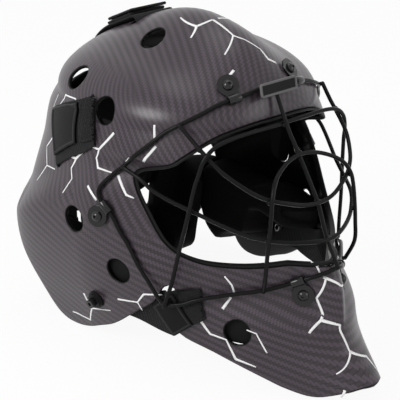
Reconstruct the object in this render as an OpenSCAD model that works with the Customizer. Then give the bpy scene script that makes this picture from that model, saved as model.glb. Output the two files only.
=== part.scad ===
// Floorball goalie helmet: moulded shell with a wire face cage, a swinging
// back plate, padding and straps. Millimetres. Z up, the face looks along -Y,
// the wearer's right is -X. The floor is z = 0 under the lowest shell edge.

/* [Shell] */
// outside half-width of the shell at the jaw hinge height
shell_half_w = 108; // [95:0.5:120]
// how far the chin front stands ahead of the section centre
chin_reach = 183; // [150:0.5:200]
// how far the rear corner stands behind the section centre
rear_reach = 110; // [95:0.5:125]
// height where the dome starts to close
dome_start = 205; // [195:0.5:215]
// height of the dome without its crown ridge
dome_top = 250; // [240:0.5:260]
// height of the crown ridge along the top
crown_h = 22; // [10:0.5:30]
// half-width of the crown ridge at its foot
crown_w = 58; // [45:0.5:70]
// wall of the shell
wall = 3; // [2.4:0.1:4.5]

/* [Openings and vents] */
// diameter of the round vents
vent_d = 21; // [16:0.5:25]
// half-width of the rear opening for the back plate
rear_open_w = 70; // [60:0.5:76]
// top of the rear opening
rear_open_top = 206; // [195:0.5:210]
// width of the strap slots
slot_w = 7; // [5:0.25:9]

/* [Cage] */
// diameter of the cage wire
wire_d = 3.2; // [2.6:0.1:4]
// gap between the cage frame and the shell
wire_gap = 0.7; // [0.4:0.1:1]
// diameter of the round clip plates
clip_d = 17; // [14:0.5:20]
// thickness of the clip strip
clip_t = 1.4; // [1:0.1:2]
// reach from the wire to the clip screw
clip_reach = 11.5; // [10:0.25:14]
// shank diameter of the clip screws
screw_d = 4; // [3:0.5:5]
// clearance round screws
screw_gap = 0.25; // [0.15:0.05:0.5]

/* [Straps] */
// thickness of the elastic straps
strap_t = 1.8; // [1.2:0.1:2.5]
// thickness of the strap tabs
tab_t = 2.4; // [1.6:0.1:3.5]
// width of the top strap
top_strap_w = 40; // [32:0.5:44]

/* [Padding] */
// thickness of the foam pads
pad_t = 12; // [8:0.5:16]
// gap between the pads and the shell
pad_gap = 0.6; // [0.4:0.05:1]
// thickness of the cheek and ear pads
cheek_t = 30; // [16:0.5:32]
// thickness of the neck foam under the back plate
nape_t = 44; // [24:0.5:48]

/* [Back plate] */
// gap between the back plate and the rear opening
plate_gap = 6; // [3:0.5:9]
// how far the back plate lies under the outer surface
plate_inset = 3; // [2:0.25:5]

/* [Hidden] */
sec_y = 20;
// puts the part's middle over Y = 0 and its lowest edge on the floor
origin = [0, 33, -10];
// z, half width, front reach, rear reach, front power, rear power (reaches as shares)
ST = [
 [  0, 0.852, 1.126, 1.045, 1.60, 6.0],
 [ 30, 0.898, 1.104, 1.045, 1.60, 6.0],
 [ 60, 0.954, 1.038, 1.045, 1.60, 6.0],
 [ 95, 1.000, 1.000, 1.045, 1.62, 5.0],
 [125, 1.000, 0.891, 1.040, 1.85, 3.6],
 [160, 0.963, 0.754, 1.030, 2.15, 2.7],
 [190, 0.917, 0.645, 1.000, 2.30, 2.5],
 [205, 0.882, 0.601, 0.940, 2.30, 2.3]];
function sm(t) = let(u = min(1, max(0, t))) u * u * (3 - 2 * u);
function row(z, i = 0) = (i >= len(ST) - 2 || z < ST[i + 1][0]) ? i : row(z, i + 1);
function slope(i, c) = i <= 0 ? (ST[1][c] - ST[0][c]) / (ST[1][0] - ST[0][0])
    : i >= len(ST) - 1 ? (ST[i][c] - ST[i - 1][c]) / (ST[i][0] - ST[i - 1][0])
    : (ST[i + 1][c] - ST[i - 1][c]) / (ST[i + 1][0] - ST[i - 1][0]);
function st(z, c) = let(i = row(z), h = ST[i + 1][0] - ST[i][0], u = (min(z, ST[len(ST) - 1][0]) - ST[i][0]) / h)
    (2 * u^3 - 3 * u^2 + 1) * ST[i][c] + (u^3 - 2 * u^2 + u) * h * slope(i, c)
    + (3 * u^2 - 2 * u^3) * ST[i + 1][c] + (u^3 - u^2) * h * slope(i + 1, c);
function lin(y, T) = lookup(y, T);
// point of the shell surface: a = angle round the section (0 = front, 90 = +X),
// v = height, or above the dome start an angle past it; t = depth under the outside
function S(a, v, t = 0) =
    let(z0 = min(v, dome_start), th = max(0, v - dome_start) / 100 * 90,
        k = cos(th)^(0.95), zs = z0 + (dome_top - t - dome_start) * sin(th),
        w = (shell_half_w * st(z0, 1) - t) * k,
        c = cos(a), s = sin(a), fr = c > 0,
        d = ((fr ? chin_reach * st(z0, 2) : rear_reach * st(z0, 3)) - t) * k,
        n = fr ? st(z0, 4) : st(z0, 5),
        x0 = w * sign(s) * abs(s)^(2 / n), y0 = sec_y - d * sign(c) * abs(c)^(2 / n),
        lip = fr ? 26 * sm((48 - zs) / 24) * exp(-(x0 / 30)^2) : 0,
        y1 = y0 - lip,
        ridge = lookup(y1, [[-60, 180], [0, 165], [60, 138], [105, 112]]),
        fl = lookup(y1, [[-100, 0], [-40, 2], [20, 5], [110, 12]]) * sm((ridge + 12 - zs) / 30) * abs(s),
        yc = -8 - (151 - zs) * 0.75,
        bev = 0.25 * max(0, yc - y1) * sm((zs - 62) / 25) * sm((186 - zs) / 18),
        x1 = x0 + sign(s) * (fl - min(bev, abs(x0) * 0.5)),
        g = abs(x1) < crown_w ? 0.5 + 0.5 * cos(180 * x1 / crown_w) : 0,
        vy = y1 - 20, vz = zs - 150, L = sqrt(vy * vy + vz * vz) + 0.001,
        m = crown_h * sm((vz / L - 0.45) / 0.5) * g * (1 - 0.75 * sm((y1 + 0) / 85)))
    [x1, y1 + vy / L * m, zs + vz / L * m] + origin;

// ---- helpers -------------------------------------------------------------
function unit(v) = v / norm(v);
// outward normal of the shell surface at (a, v)
function nrm(a, v) = let (m = cross(S(a + 1, v) - S(a - 1, v), S(a, v + 1.5) - S(a, v - 1.5))) unit(m);
// surface point lifted h off the outside
function off(a, v, h) = S(a, v) + nrm(a, v) * h;
// inner surface point lowered h further in
function under(a, v, h) = S(a, v, wall) - nrm(a, v) * h;
// angle where the section at v is x wide, front half
function ax(x, v, lo = 0, hi = 90, k = 18) = k == 0 ? (lo + hi) / 2
    : let (m = (lo + hi) / 2) S(m, v)[0] > x ? ax(x, v, lo, m, k - 1) : ax(x, v, m, hi, k - 1);
function v_of(z) = z <= dome_start ? z : dome_start + asin((z - dome_start) / (dome_top - dome_start)) / 0.9;
// front surface above the point (x, z)
function front(x, z) = S(ax(abs(x), v_of(z)), v_of(z))[1];
// places of the cage wires follow the shell's width and reach
function G(p) = [p[0] * shell_half_w / 108, sec_y + (p[1] - sec_y) * chin_reach / 183, p[2]] + origin;
// route with rounded bends: each point may carry a radius as its fourth value
function rounded(P) = [for (i = [0:len(P) - 1])
    let (p = [P[i][0], P[i][1], P[i][2]], r = len(P[i]) > 3 ? P[i][3] : 0)
    if (i == 0 || i == len(P) - 1 || r == 0) p else
    each let (a = [P[i - 1][0], P[i - 1][1], P[i - 1][2]], b = [P[i + 1][0], P[i + 1][1], P[i + 1][2]],
        d = min(r, 0.45 * norm(a - p), 0.45 * norm(b - p)), s = p + unit(a - p) * d, e = p + unit(b - p) * d)
        [for (t = [0:0.25:1]) s * (1 - t)^2 + p * 2 * t * (1 - t) + e * t^2]];
// smooth route through the points (centripetal-free Catmull-Rom, k steps a span)
function spline(P, k) = concat([for (i = [0:len(P) - 2]) each
    let (p0 = P[max(0, i - 1)], p1 = P[i], p2 = P[i + 1], p3 = P[min(len(P) - 1, i + 2)])
    [for (j = [0:k - 1]) let (t = j / k) 0.5 * (2 * p1 + (p2 - p0) * t + (2 * p0 - 5 * p1 + 4 * p2 - p3) * t^2 + (3 * p1 - p0 - 3 * p2 + p3) * t^3)]], [P[len(P) - 1]]);
function ring(d, n) = [for (i = [0:n - 1]) [cos(i * 360 / n), sin(i * 360 / n)] * d / 2];
// closed solid along a route; U = up vectors, prof = profile as [up, side] pairs
module sweep(P, U, prof, closed = false) {
    n = len(P);
    m = len(prof);
    T = [for (i = [0:n - 1]) unit(closed ? P[(i + 1) % n] - P[(i - 1 + n) % n] : P[min(n - 1, i + 1)] - P[max(0, i - 1)])];
    N = [for (i = [0:n - 1]) unit(U[i] - (U[i] * T[i]) * T[i])];
    pts = [for (i = [0:n - 1]) for (q = prof) P[i] + N[i] * q[0] + cross(T[i], N[i]) * q[1]];
    quads = [for (i = [0:(closed ? n - 1 : n - 2)]) for (k = [0:m - 1])
        let (a = i * m + k, b = i * m + (k + 1) % m, c = ((i + 1) % n) * m + k, d = ((i + 1) % n) * m + (k + 1) % m) each [[a, c, b], [b, c, d]]];
    caps = closed ? [] : concat([for (k = [1:m - 2]) [0, k, k + 1]], [for (k = [1:m - 2]) let (o = (n - 1) * m) [o, o + k + 1, o + k]]);
    polyhedron(pts, concat(quads, caps));
}
// slab that follows the shell: corners C = [[a, v] x 4] in the order low-left, low-right, high-right, high-left
// (or a list of [lower, upper] stations along it)
function bil(C, u, w) = is_list(C[0][0])
    ? let (n = len(C) - 1, k = min(n - 1, floor(u * n)), t = u * n - k, a = C[k] * (1 - t) + C[k + 1] * t) a[0] * (1 - w) + a[1] * w
    : C[0] * (1 - u) * (1 - w) + C[1] * u * (1 - w) + C[2] * u * w + C[3] * (1 - u) * w;
function rim(u, e) = let (t = min(1, min(u, 1 - u) / e)) sqrt(max(0, 1 - (1 - t)^2));
// lo, hi = depth of the under and upper face off the outside, as functions of place
// (inside = true: depths count inward from the inner surface)
module slab(C, nu, nw, lo, hi, inside = false) {
    n = (nu + 1) * (nw + 1);
    Q = [for (j = [0:nw]) for (i = [0:nu]) let (q = bil(C, i / nu, j / nw)) [q[0], q[1], i / nu, j / nw]];
    pts = concat([for (q = Q) at(q, lo(q[2], q[3]))], [for (q = Q) at(q, hi(q[2], q[3]))]);
    function at(q, h) = inside ? under(q[0], q[1], -h) : off(q[0], q[1], h);
    w = nu + 1;
    low = [for (j = [0:nw - 1]) for (i = [0:nu - 1]) let (a = j * w + i) each [[a, a + 1, a + w], [a + 1, a + w + 1, a + w]]];
    up = [for (j = [0:nw - 1]) for (i = [0:nu - 1]) let (a = n + j * w + i) each [[a, a + w, a + 1], [a + 1, a + w, a + w + 1]]];
    s1 = [for (i = [0:nu - 1]) let (a = i) each [[a, n + a, a + 1], [a + 1, n + a, n + a + 1]]];
    s2 = [for (i = [0:nu - 1]) let (a = nw * w + i) each [[a, a + 1, n + a], [a + 1, n + a + 1, n + a]]];
    s3 = [for (j = [0:nw - 1]) let (a = j * w) each [[a, a + w, n + a], [a + w, n + a + w, n + a]]];
    s4 = [for (j = [0:nw - 1]) let (a = j * w + nu) each [[a, n + a, a + w], [a + w, n + a, n + a + w]]];
    polyhedron(pts, concat(low, up, s1, s2, s3, s4));
}
module both() { children(); mirror([1, 0, 0]) children(); }
module left() mirror([1, 0, 0]) children();
// local axes at a place: origin p, z along n, x along the direction d made square to n
module place(p, n, d) { z = unit(n); x = unit(d - (d * z) * z); y = cross(z, x);
    multmatrix([[x[0], y[0], z[0], p[0]], [x[1], y[1], z[1], p[1]], [x[2], y[2], z[2], p[2]], [0, 0, 0, 1]]) children(); }
module on(a, v, h = 0) place(off(a, v, h), nrm(a, v), [0, 0, 1]) children();
module along_x(w) rotate([90, 0, 90]) translate([0, 0, -w / 2]) linear_extrude(w) children();
module along_y(y0, y1) translate([0, y1, 0]) rotate([90, 0, 0]) linear_extrude(y1 - y0) children();
function mir(P) = concat(P, [for (i = [len(P) - 2:-1:1]) [-P[i][0], P[i][1]]]);

// ---- places on the right side, as [angle, height]; the left side mirrors them
vents = [[-89.4, 120], [-71.4, 88], [-40.4, 57.5], [-84, 281.6], [-104.4, 232.6], [-82, 213.7]];
standoff = [-82.2, 51.6];
// strap slot: upper and lower end
slot_a = [[-110.5, 191], [-98.8, 151.5]];
top_slot = [-180, 284];
// lower edge seen from the side, from the chin tip back to the rear edge
// (in front of sec_y the first number is a part of chin_reach)
edge_front = [[1.3661, 31], [1.2186, 30], [1.1639, 25], [1.0492, 16], [0.9399, 18], [0.8415, 24], [0.6503, 36], [0.5109, 44], [0.5027, 54], [0.4973, 74], [0.4891, 82], [0.4754, 86], [0.4508, 84], [0.429, 76],
    [0.3934, 67], [0.3279, 57], [0.2623, 47], [0.2077, 38.5], [0.1421, 30], [0.0656, 23]];
edge_yz = concat([for (q = edge_front) [sec_y - q[0] * chin_reach, q[1]]], [[22, 16], [36, 11.5], [50, 10], [60, 12], [68, 17], [77, 27], [91, 46], [104, 68], [112, 96], [118, 108], [160, 112]]);
// face opening seen from the front, right half from the brow to the chin lip
brow_top = 210;
face_xz = [[0, brow_top], [-20, brow_top - 0.5], [-40, 206], [-58, 199], [-74, 188], [-84, 177], [-89.5, 167], [-91, 157], [-90, 145], [-87.5, 130], [-84.5, 120],
    [-79, 112.5], [-70, 107.5], [-60, 105.8], [-46, 106], [-30, 108], [-15, 110.5], [0, 111]];

// corner radii of the rear opening and of the back plate
rear_r = 40;
plate_r = rear_r - plate_gap;
plate_w = rear_open_w - plate_gap;
plate_top = rear_open_top - plate_gap - 3;

// ---- shell -----------------------------------------------------------------
shell_v = [0, 14, 24, 32, 40, 50, 60, 70, 80, 90, 100, 110, 120, 130, 140, 150, 160, 170, 180, 190, 198, 205, 217, 229, 241, 253, 265, 277, 288];
module shell_blank(na) {
    nv = len(shell_v);
    n = nv * na;
    pts = concat([for (v = shell_v) for (i = [0:na - 1]) S(i * 360 / na, v, 0)], [for (v = shell_v) for (i = [0:na - 1]) S(i * 360 / na, v, wall)], [S(0, 305, 0), S(0, 305, wall)]);
    polyhedron(pts, concat(
        [for (j = [0:nv - 2]) for (i = [0:na - 1]) let (a = j * na + i, b = j * na + (i + 1) % na) each [[a, a + na, b], [b, a + na, b + na]]],
        [for (j = [0:nv - 2]) for (i = [0:na - 1]) let (a = n + j * na + i, b = n + j * na + (i + 1) % na) each [[a, b, a + na], [b, b + na, a + na]]],
        [for (i = [0:na - 1]) let (a = (nv - 1) * na + i, b = (nv - 1) * na + (i + 1) % na) each [[a, 2 * n, b], [n + a, n + b, 2 * n + 1]]],
        [for (i = [0:na - 1]) let (b = (i + 1) % na) each [[i, b, n + i], [b, n + b, n + i]]]));
}
// slot cutter between two places on the surface
module slot(q1, q2) { p = S(q1[0], q1[1]); q = S(q2[0], q2[1]); m = (q1 + q2) / 2;
    place((p + q) / 2, nrm(m[0], m[1]), q - p) translate([0, 0, -12]) linear_extrude(24) {
        square([norm(q - p) - slot_w, slot_w], center = true);
        for (s = [-1, 1]) translate([s * (norm(q - p) - slot_w) / 2, 0]) circle(d = slot_w, $fn = 24); } }
module main_shell() color([0.30, 0.28, 0.30]) difference() {
    shell_blank(56);
    translate(origin) along_x(400) polygon(concat([[edge_yz[0][0], -20]], edge_yz, [[160, -20]]));
    translate(origin) along_y(-260, 0) polygon(mir(face_xz));
    translate(origin) along_y(60, 200) { translate([-rear_open_w, 0]) square([2 * rear_open_w, rear_open_top - rear_r]);
        translate([-rear_open_w + rear_r, rear_open_top - rear_r - 1]) square([2 * (rear_open_w - rear_r), rear_r + 1]);
        for (s = [-1, 1]) translate([s * (rear_open_w - rear_r), rear_open_top - rear_r]) circle(r = rear_r, $fn = 64); }
    both() {
        for (q = vents) on(q[0], q[1], -12) cylinder(h = 24, d = vent_d, $fn = 40);
        on(standoff[0], standoff[1], -12) cylinder(h = 24, d = screw_d + 2 * screw_gap, $fn = 20);
        slot(slot_a[0], slot_a[1]);
        for (q = clips) clip_frame(q) translate([0, 0, -12]) cylinder(h = 24, d = screw_d + 2 * screw_gap, $fn = 20);
    }
    top_slot_frame() translate([0, 0, -10]) linear_extrude(20) square([top_strap_w + 6, slot_w], center = true);
}
module top_slot_frame() place(S(-180, top_slot[1]), nrm(-180, top_slot[1]), [1, 0, 0]) children();

// ---- face trim -------------------------------------------------------------
module face_trim() color([0.05, 0.05, 0.055]) {
    B = mir(face_xz);
    n = len(B);
    N2 = [for (i = [0:n - 1]) let (t = unit(B[(i + 1) % n] - B[(i - 1 + n) % n])) [-t[1], t[0]]];
    sg = N2[0][1] < 0 ? 1 : -1;
    P = [for (i = [0:n - 1]) let (y = front(B[i][0], B[i][1])) [B[i][0] + sg * N2[i][0] * 1.45, y + wall * 0.55, B[i][1] + sg * N2[i][1] * 1.45 + origin[2]]];
    sweep(P, [for (i = [0:n - 1]) [0, 1, 0]], [[-2.4, -1], [2.4, -1], [2.4, 1], [-2.4, 1]], closed = true);
}

// ---- cage ------------------------------------------------------------------
wire_h = wire_d / 2 + wire_gap;
// frame on the shell, right half from the brow centre down to the chin centre
frame_av = [[0, 238.5], [-5.7, 237.8], [-14, 235.6], [-25.4, 231.8], [-35, 224], [-44.7, 214.4], [-52, 204.5], [-58.7, 195.2], [-65.5, 185.5], [-71.7, 176.2], [-75.5, 167.5], [-78.6, 157.5], [-79.2, 151.5], [-77.6, 145],
    [-74, 137.1], [-70.8, 126], [-67.5, 114.6], [-64.6, 101], [-61.5, 88], [-59.2, 78], [-57.4, 73.6], [-54, 74.6], [-50.3, 79.2], [-43.9, 85.2], [-36.1, 90.6], [-28.5, 96.8], [-20, 102.5], [-9, 106.5], [0, 108]];
// the frame stands off the shell where it crosses the jaw strap
frame_over = [for (i = [0:len(frame_av) - 1]) lookup(i, [[17, 0], [18, 1.6], [19, 3.3], [20, 3.9], [22, 3.9], [23, 2.6], [24, 1.4], [25, 1.4], [26, 0.9], [27, 0.1], [28, 0]])];
frame_right = [for (i = [0:len(frame_av) - 1]) off(frame_av[i][0], frame_av[i][1], wire_h + frame_over[i])];
frame_n = [for (q = frame_av) nrm(q[0], q[1])];
function flip(p) = [-p[0], p[1], p[2]];
frame_pts = concat(frame_right, [for (i = [len(frame_right) - 2:-1:1]) flip(frame_right[i])]);
frame_up = concat(frame_n, [for (i = [len(frame_n) - 2:-1:1]) flip(frame_n[i])]);
module wire(P, U) sweep(P, U, ring(wire_d, 8));
module sym_wire(P, u) { Q = concat(P, [for (i = [len(P) - 2:-1:0]) flip(P[i])]); wire(Q, [for (q = Q) u]); }
module cage_frame() color([0.06, 0.06, 0.065]) sweep(frame_pts, frame_up, ring(wire_d, 8), closed = true);
// end of a bar on the frame: place i of the frame, lifted by one wire
function seat(i, h = 1) = frame_right[i] + frame_n[i] * h * wire_d;
module cage_outer_arch() color([0.06, 0.06, 0.065])
    sym_wire(concat([seat(20)], [for (p = [[-90, -74.5, 92], [-86, -78.8, 119], [-81.3, -82.8, 146], [-77.2, -86.6, 172], [-75.4, -89, 182], [-72.4, -90.3, 192], [-66.5, -91.5, 199], [-58, -92.6, 203.3], [-44, -94, 205.6], [-22, -96, 206.6], [0, -96.6, 206.8]]) G(p)]), [0, -1, 0.1]);
module cage_inner_arch() color([0.06, 0.06, 0.065])
    sym_wire(concat([seat(24)], [for (p = [[-47, -132, 108], [-46, -132.4, 126], [-44, -132.3, 144], [-42.3, -131.4, 158], [-40.4, -130, 167], [-36, -127, 175], [-29, -123, 180.5], [-19, -119.5, 185], [-9, -117.4, 187.6], [0, -116.8, 188.3]]) G(p)]), [0, -1, 0.1]);
module cage_nose_bar() color([0.06, 0.06, 0.065])
    sym_wire(concat([seat(5)], [for (p = [[-70.4, -76, 204], [-68.6, -84.6, 197.6], [-65, -98, 188], [-60.5, -107, 181.5], [-52.5, -117.5, 173.5], [-45, -123.8, 168], [-37, -128.6, 164.6], [-28, -132.6, 161.6], [-18, -136, 158.6], [-9, -138, 157.2], [0, -138.5, 156.8]]) G(p)]), [0, -1, 0.1]);
module cage_belt_bar() color([0.06, 0.06, 0.065])
    sym_wire(concat([seat(9)], [for (p = [[-93.6, -43, 169.5], [-90.5, -53.5, 163], [-84, -66.5, 157], [-76, -81, 151.6], [-66, -101.5, 145], [-60, -112.5, 141.6], [-53.6, -120.5, 138.4], [-46, -127.4, 136], [-38, -134, 134.4], [-28, -140.4, 133], [-17, -146, 132], [-8, -149.2, 131.3], [0, -150.2, 131]]) G(p)]), [0, -1, 0.1]);
module cage_centre_bar() color([0.06, 0.06, 0.065]) {
    P = rounded(concat([seat(0)], [for (p = [[0, -100.9, 206], [0, -112.4, 190.1], [0, -136, 156.5, 8], [0, -147, 131]]) G(p)], [seat(28)]));
    wire(P, [for (p = P) [1, 0, 0]]);
}
// badge plate over the top of the frame, clear of the centre bar
badge_up = 2.8;
module badge_plate() color([0.35, 0.35, 0.36]) place(seat(0, 1.5), frame_n[0] - [0, 0, 0.35], [1, 0, 0])
    translate([0, -2.5, badge_up]) difference() {
        linear_extrude(2) offset(r = 2, $fn = 24) square([32, 6.4], center = true);
        translate([0, 0, 1.2]) linear_extrude(2) offset(r = 1, $fn = 24) square([31.2, 5.6], center = true);
    }

// ---- clips: [place on the frame, side of the frame the plate lies on, lift of the plate, depth of the nut seat]
clips = [[2.38, 1, 0, 1.8], [13.5, 1, 0, 3.4], [25.3, 1, 0.2, 2.9]];
function fpt(i) = let (k = floor(i), t = i - k) frame_right[k] * (1 - t) + frame_right[min(k + 1, 28)] * t;
function fnm(i) = let (k = floor(i), t = i - k) unit(frame_n[k] * (1 - t) + frame_n[min(k + 1, 28)] * t);
function ftan(i) = let (k = floor(i)) unit(frame_right[min(k + 1, 28)] - frame_right[k]);
// frame at the clip screw: z out of the shell, x towards the wire
module clip_frame(q) { n = fnm(q[0]); d = cross(ftan(q[0]), n) * q[1]; place(fpt(q[0]) - n * wire_h + unit(d) * clip_reach, n, -d) children(); }
module clip_frames() for (q = clips) clip_frame(q) children();
// one strap round the frame wire, flattened to a round plate over the shell
module clip(i) color([0.05, 0.05, 0.055]) clip_frame(clips[i]) { z0 = 0.4 + clips[i][2]; difference() {
    union() {
        translate([0, 0, z0]) cylinder(h = clip_t, d = clip_d, $fn = 48);
        translate([0, -clip_w / 2, z0]) cube([clip_reach - wire_d / 2 - 0.4, clip_w, clip_t]);
        intersection() {
            translate([clip_reach, 0, wire_h]) rotate([90, 0, 0]) cylinder(h = clip_w, d = wire_d + 2 * clip_t + 2 * saddle, center = true, $fn = 32);
            translate([clip_reach - 10, -clip_w, z0]) cube([20, 2 * clip_w, 20]);
        }
    }
    translate([clip_reach, 0, wire_h]) rotate([90, 0, 0]) cylinder(h = 40, d = wire_d + 2 * saddle, center = true, $fn = 32);
    translate([clip_reach - wire_d / 2 - saddle, -20, -1]) cube([wire_d + 2 * saddle, 40, wire_h + 1]);
    translate([0, 0, -1]) cylinder(h = 10, d = screw_d + 2 * screw_gap, $fn = 20);
} }
clip_w = 10;
// clearance of the saddle round the wire
saddle = 0.65;
head_d = 8.4;
head_h = 3.2;
// dome-headed screw through the plate and the shell
module clip_screw(i) color([0.08, 0.08, 0.085]) clip_frame(clips[i]) {
    z0 = 0.4 + clips[i][2];
    zn = -wall - clips[i][3] - 3;
    translate([0, 0, zn]) cylinder(h = z0 + clip_t + 0.5 - zn, d = screw_d, $fn = 20);
    difference() {
        translate([0, 0, z0 + clip_t + 0.1]) intersection() { scale([1, 1, 1]) translate([0, 0, head_h - dome_r]) sphere(r = dome_r, $fn = 48); cylinder(h = head_h, d = head_d, $fn = 32); }
        translate([0, 0, z0 + clip_t + head_h - 1.4]) cylinder(h = 3, d = 2.8, $fn = 6);
    }
}
dome_r = (head_d * head_d / 4 + (head_h - 0.8) * (head_h - 0.8)) / (2 * (head_h - 0.8));
module clip_nut(i) color([0.55, 0.55, 0.56]) clip_frame(clips[i]) translate([0, 0, -wall - clips[i][3] - 3.2]) difference() {
    cylinder(h = 3.2, d = 8, $fn = 6);
    translate([0, 0, -1]) cylinder(h = 6, d = screw_d + 0.3, $fn = 20);
}
clip_names = ["brow", "side", "chin"];

// ---- standoff screws that carry the jaw straps --------------------------------
module standoff_washers() color([0.04, 0.04, 0.045]) on(standoff[0], standoff[1]) difference() {
    union() { translate([0, 0, 0.3]) cylinder(h = 1.6, d = 15, $fn = 40); translate([0, 0, 1.9]) cylinder(h = 2.2, d = 12, $fn = 40); }
    translate([0, 0, -1]) cylinder(h = 8, d = screw_d + 2 * screw_gap, $fn = 20);
}
module standoff_screw() color([0.1, 0.1, 0.105]) on(standoff[0], standoff[1]) {
    translate([0, 0, -wall - 7]) cylinder(h = wall + 7 + 4.4, d = screw_d, $fn = 20);
    translate([0, 0, 4.3]) difference() { cylinder(h = 4.4, d = 7.4, $fn = 32); translate([0, 0, 2]) cylinder(h = 4, d = 3.5, $fn = 6); }
}
module standoff_nut() color([0.55, 0.55, 0.56]) on(standoff[0], standoff[1]) translate([0, 0, -wall - 7.2]) difference() {
    cylinder(h = 3.2, d = 8, $fn = 6);
    translate([0, 0, -1]) cylinder(h = 6, d = screw_d + 0.3, $fn = 20);
}

// ---- straps ---------------------------------------------------------------------
lift = 0.4;
// side strap: out of the slot, forward over the shell
side_C = [[-99.6, 152.6], [-84.2, 183.5], [-87.6, 222], [-110.8, 196]];
module side_strap() color([0.04, 0.04, 0.045]) slab(side_C, 10, 8, function(u, w) lift, function(u, w) lift + strap_t);
side_tab_C = [[-101.2, 160.5], [-91, 179.5], [-93.6, 212], [-110.2, 194.5]];
module side_tab() color([0.07, 0.07, 0.075]) slab(side_tab_C, 6, 8, function(u, w) lift + strap_t + 0.3, function(u, w) lift + strap_t + 0.3 + tab_t);
side_hook_C = [[-90, 181.5], [-84.6, 188], [-87.4, 224], [-92.8, 214]];
module side_hook() color([0.03, 0.03, 0.035]) slab(side_hook_C, 4, 8, function(u, w) lift + strap_t + 0.3, function(u, w) lift + strap_t + 0.3 + 1.6);
// elastic band: inside the shell from the slot back, then over the plate under two rivets
module side_band() color([0.04, 0.04, 0.045]) difference() {
    slab(band_C, 25, 6, function(u, w) band_t(u) - strap_t, function(u, w) band_t(u));
    for (q = rivets) on(q[0], q[1], -plate_inset - 8) cylinder(h = 16, d = rivet_d + 0.3, $fn = 20);
}
// gap between the back plate and the band on it
band_gap = 0.5;
// half widths of the rear opening and of the back plate at a height
function arc_x(w, top, r, v) = let (e = max(0, v - top + r)) w - r + sqrt(max(0, r * r - e * e));
function open_x(v) = arc_x(rear_open_w, rear_open_top, rear_r, v);
function plate_x(v) = arc_x(plate_w, plate_top, plate_r, v);
function rear_at(x, v) = [-aw(x, v), v];
band_v = [154, 187];
// stations from the end on the plate, over its edge, to the opening's edge, and to the slot
band_C = [[for (v = band_v) rear_at(plate_x(v) - 19, v)], [for (v = band_v) rear_at(open_x(v) - plate_gap * 0.57, v)], [for (v = band_v) rear_at(open_x(v) + 0.2, v)], for (f = [1, 2, 3]) let (e = [[-103.5, band_v[0]], [-112.5, band_v[1]]]) [for (i = [0, 1]) let (q = rear_at(open_x(band_v[i]) + 0.2, band_v[i])) q + (e[i] - q) * f / 3]];
function band_t(u) = -wall - 1.2 + (wall + 1.2 + band_gap - plate_inset + strap_t) * sm(2 - 5 * u);
// jaw strap: inside the ear flap, out through the notch, over the jaw
jaw_C = [[[-84, 36], [-86, 62]], [[-72, 43.5], [-71, 68]], [[-58, 43], [-61.8, 74.5]], [[-51, 59], [-56, 83.5]], [[-48.2, 64.5], [-50.4, 87.5]]];
jaw_in = 0.9;
// how far the strap has come out through the notch, along u at the height w
function jaw_t(u, w) = let (u0 = 0.265 + 0.345 * w, u1 = 0.52 + 0.17 * w) -wall - jaw_in - strap_t + (wall + jaw_in + lift + strap_t) * sm((u - u0) / (u1 - u0));
module jaw_strap() color([0.04, 0.04, 0.045]) difference() {
    slab(jaw_C, 32, 6, function(u, w) jaw_t(u, w), function(u, w) jaw_t(u, w) + strap_t);
    on(standoff[0], standoff[1], -14) cylinder(h = 20, d = screw_d + 2 * screw_gap, $fn = 20);
}
jaw_on = lift + strap_t + 0.35;
jaw_tab_t = 1.5;
module jaw_tab() color([0.07, 0.07, 0.075]) slab([[-58, 44], [-51.6, 59], [-56.4, 81.5], [-61.6, 67.5]], 6, 6, function(u, w) jaw_on, function(u, w) jaw_on + jaw_tab_t);
module jaw_hook() color([0.03, 0.03, 0.035]) slab([[-51, 60.5], [-48.4, 65], [-50.6, 86.8], [-55.8, 82.8]], 4, 6, function(u, w) jaw_on, function(u, w) jaw_on + jaw_tab_t);

// ---- back plate -------------------------------------------------------------------
plate_low = 62;
function aw(x, v, lo = 90, hi = 180, k = 18) = k == 0 ? (lo + hi) / 2
    : let (m = (lo + hi) / 2) S(m, v)[0] > x ? aw(x, v, m, hi, k - 1) : aw(x, v, lo, m, k - 1);
// plate sheet as a grid over width and height, rounded in outline
module rear_sheet(w, z0, z1, r, lo, hi, nu, nw, flare) {
    n = (nu + 1) * (nw + 1);
    g = [for (j = [0:nw]) for (i = [0:nu]) let (z = z0 + (z1 - z0) * j / nw, e = max(0, r - min(z - z0, z1 - z)), x = (w - r + sqrt(max(0, r * r - e * e))) * (2 * i / nu - 1)) [x, z]];
    function pp(q, t) = let (a = aw(abs(q[0]), q[1]), p = S(a, q[1], t)) [sign(q[0]) * p[0], p[1] + flare * sm((z0 + 30 - q[1]) / 30), p[2]];
    pts = concat([for (q = g) pp(q, lo)], [for (q = g) pp(q, hi)]);
    k = nu + 1;
    polyhedron(pts, concat(
        [for (j = [0:nw - 1]) for (i = [0:nu - 1]) let (a = j * k + i) each [[a, a + 1, a + k], [a + 1, a + k + 1, a + k]]],
        [for (j = [0:nw - 1]) for (i = [0:nu - 1]) let (a = n + j * k + i) each [[a, a + k, a + 1], [a + 1, a + k, a + k + 1]]],
        [for (i = [0:nu - 1]) each [[i, n + i, i + 1], [i + 1, n + i, n + i + 1]]],
        [for (i = [0:nu - 1]) let (a = nw * k + i) each [[a, a + 1, n + a], [a + 1, n + a + 1, n + a]]],
        [for (j = [0:nw - 1]) let (a = j * k) each [[a, a + k, n + a], [a + k, n + a + k, n + a]]],
        [for (j = [0:nw - 1]) let (a = j * k + nu) each [[a, n + a, a + k], [a + k, n + a, n + a + k]]]));
}
rivet_d = 3.6;
rivets = [for (v = [162, 178]) rear_at(plate_x(v) - 8.5, v)];
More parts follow.
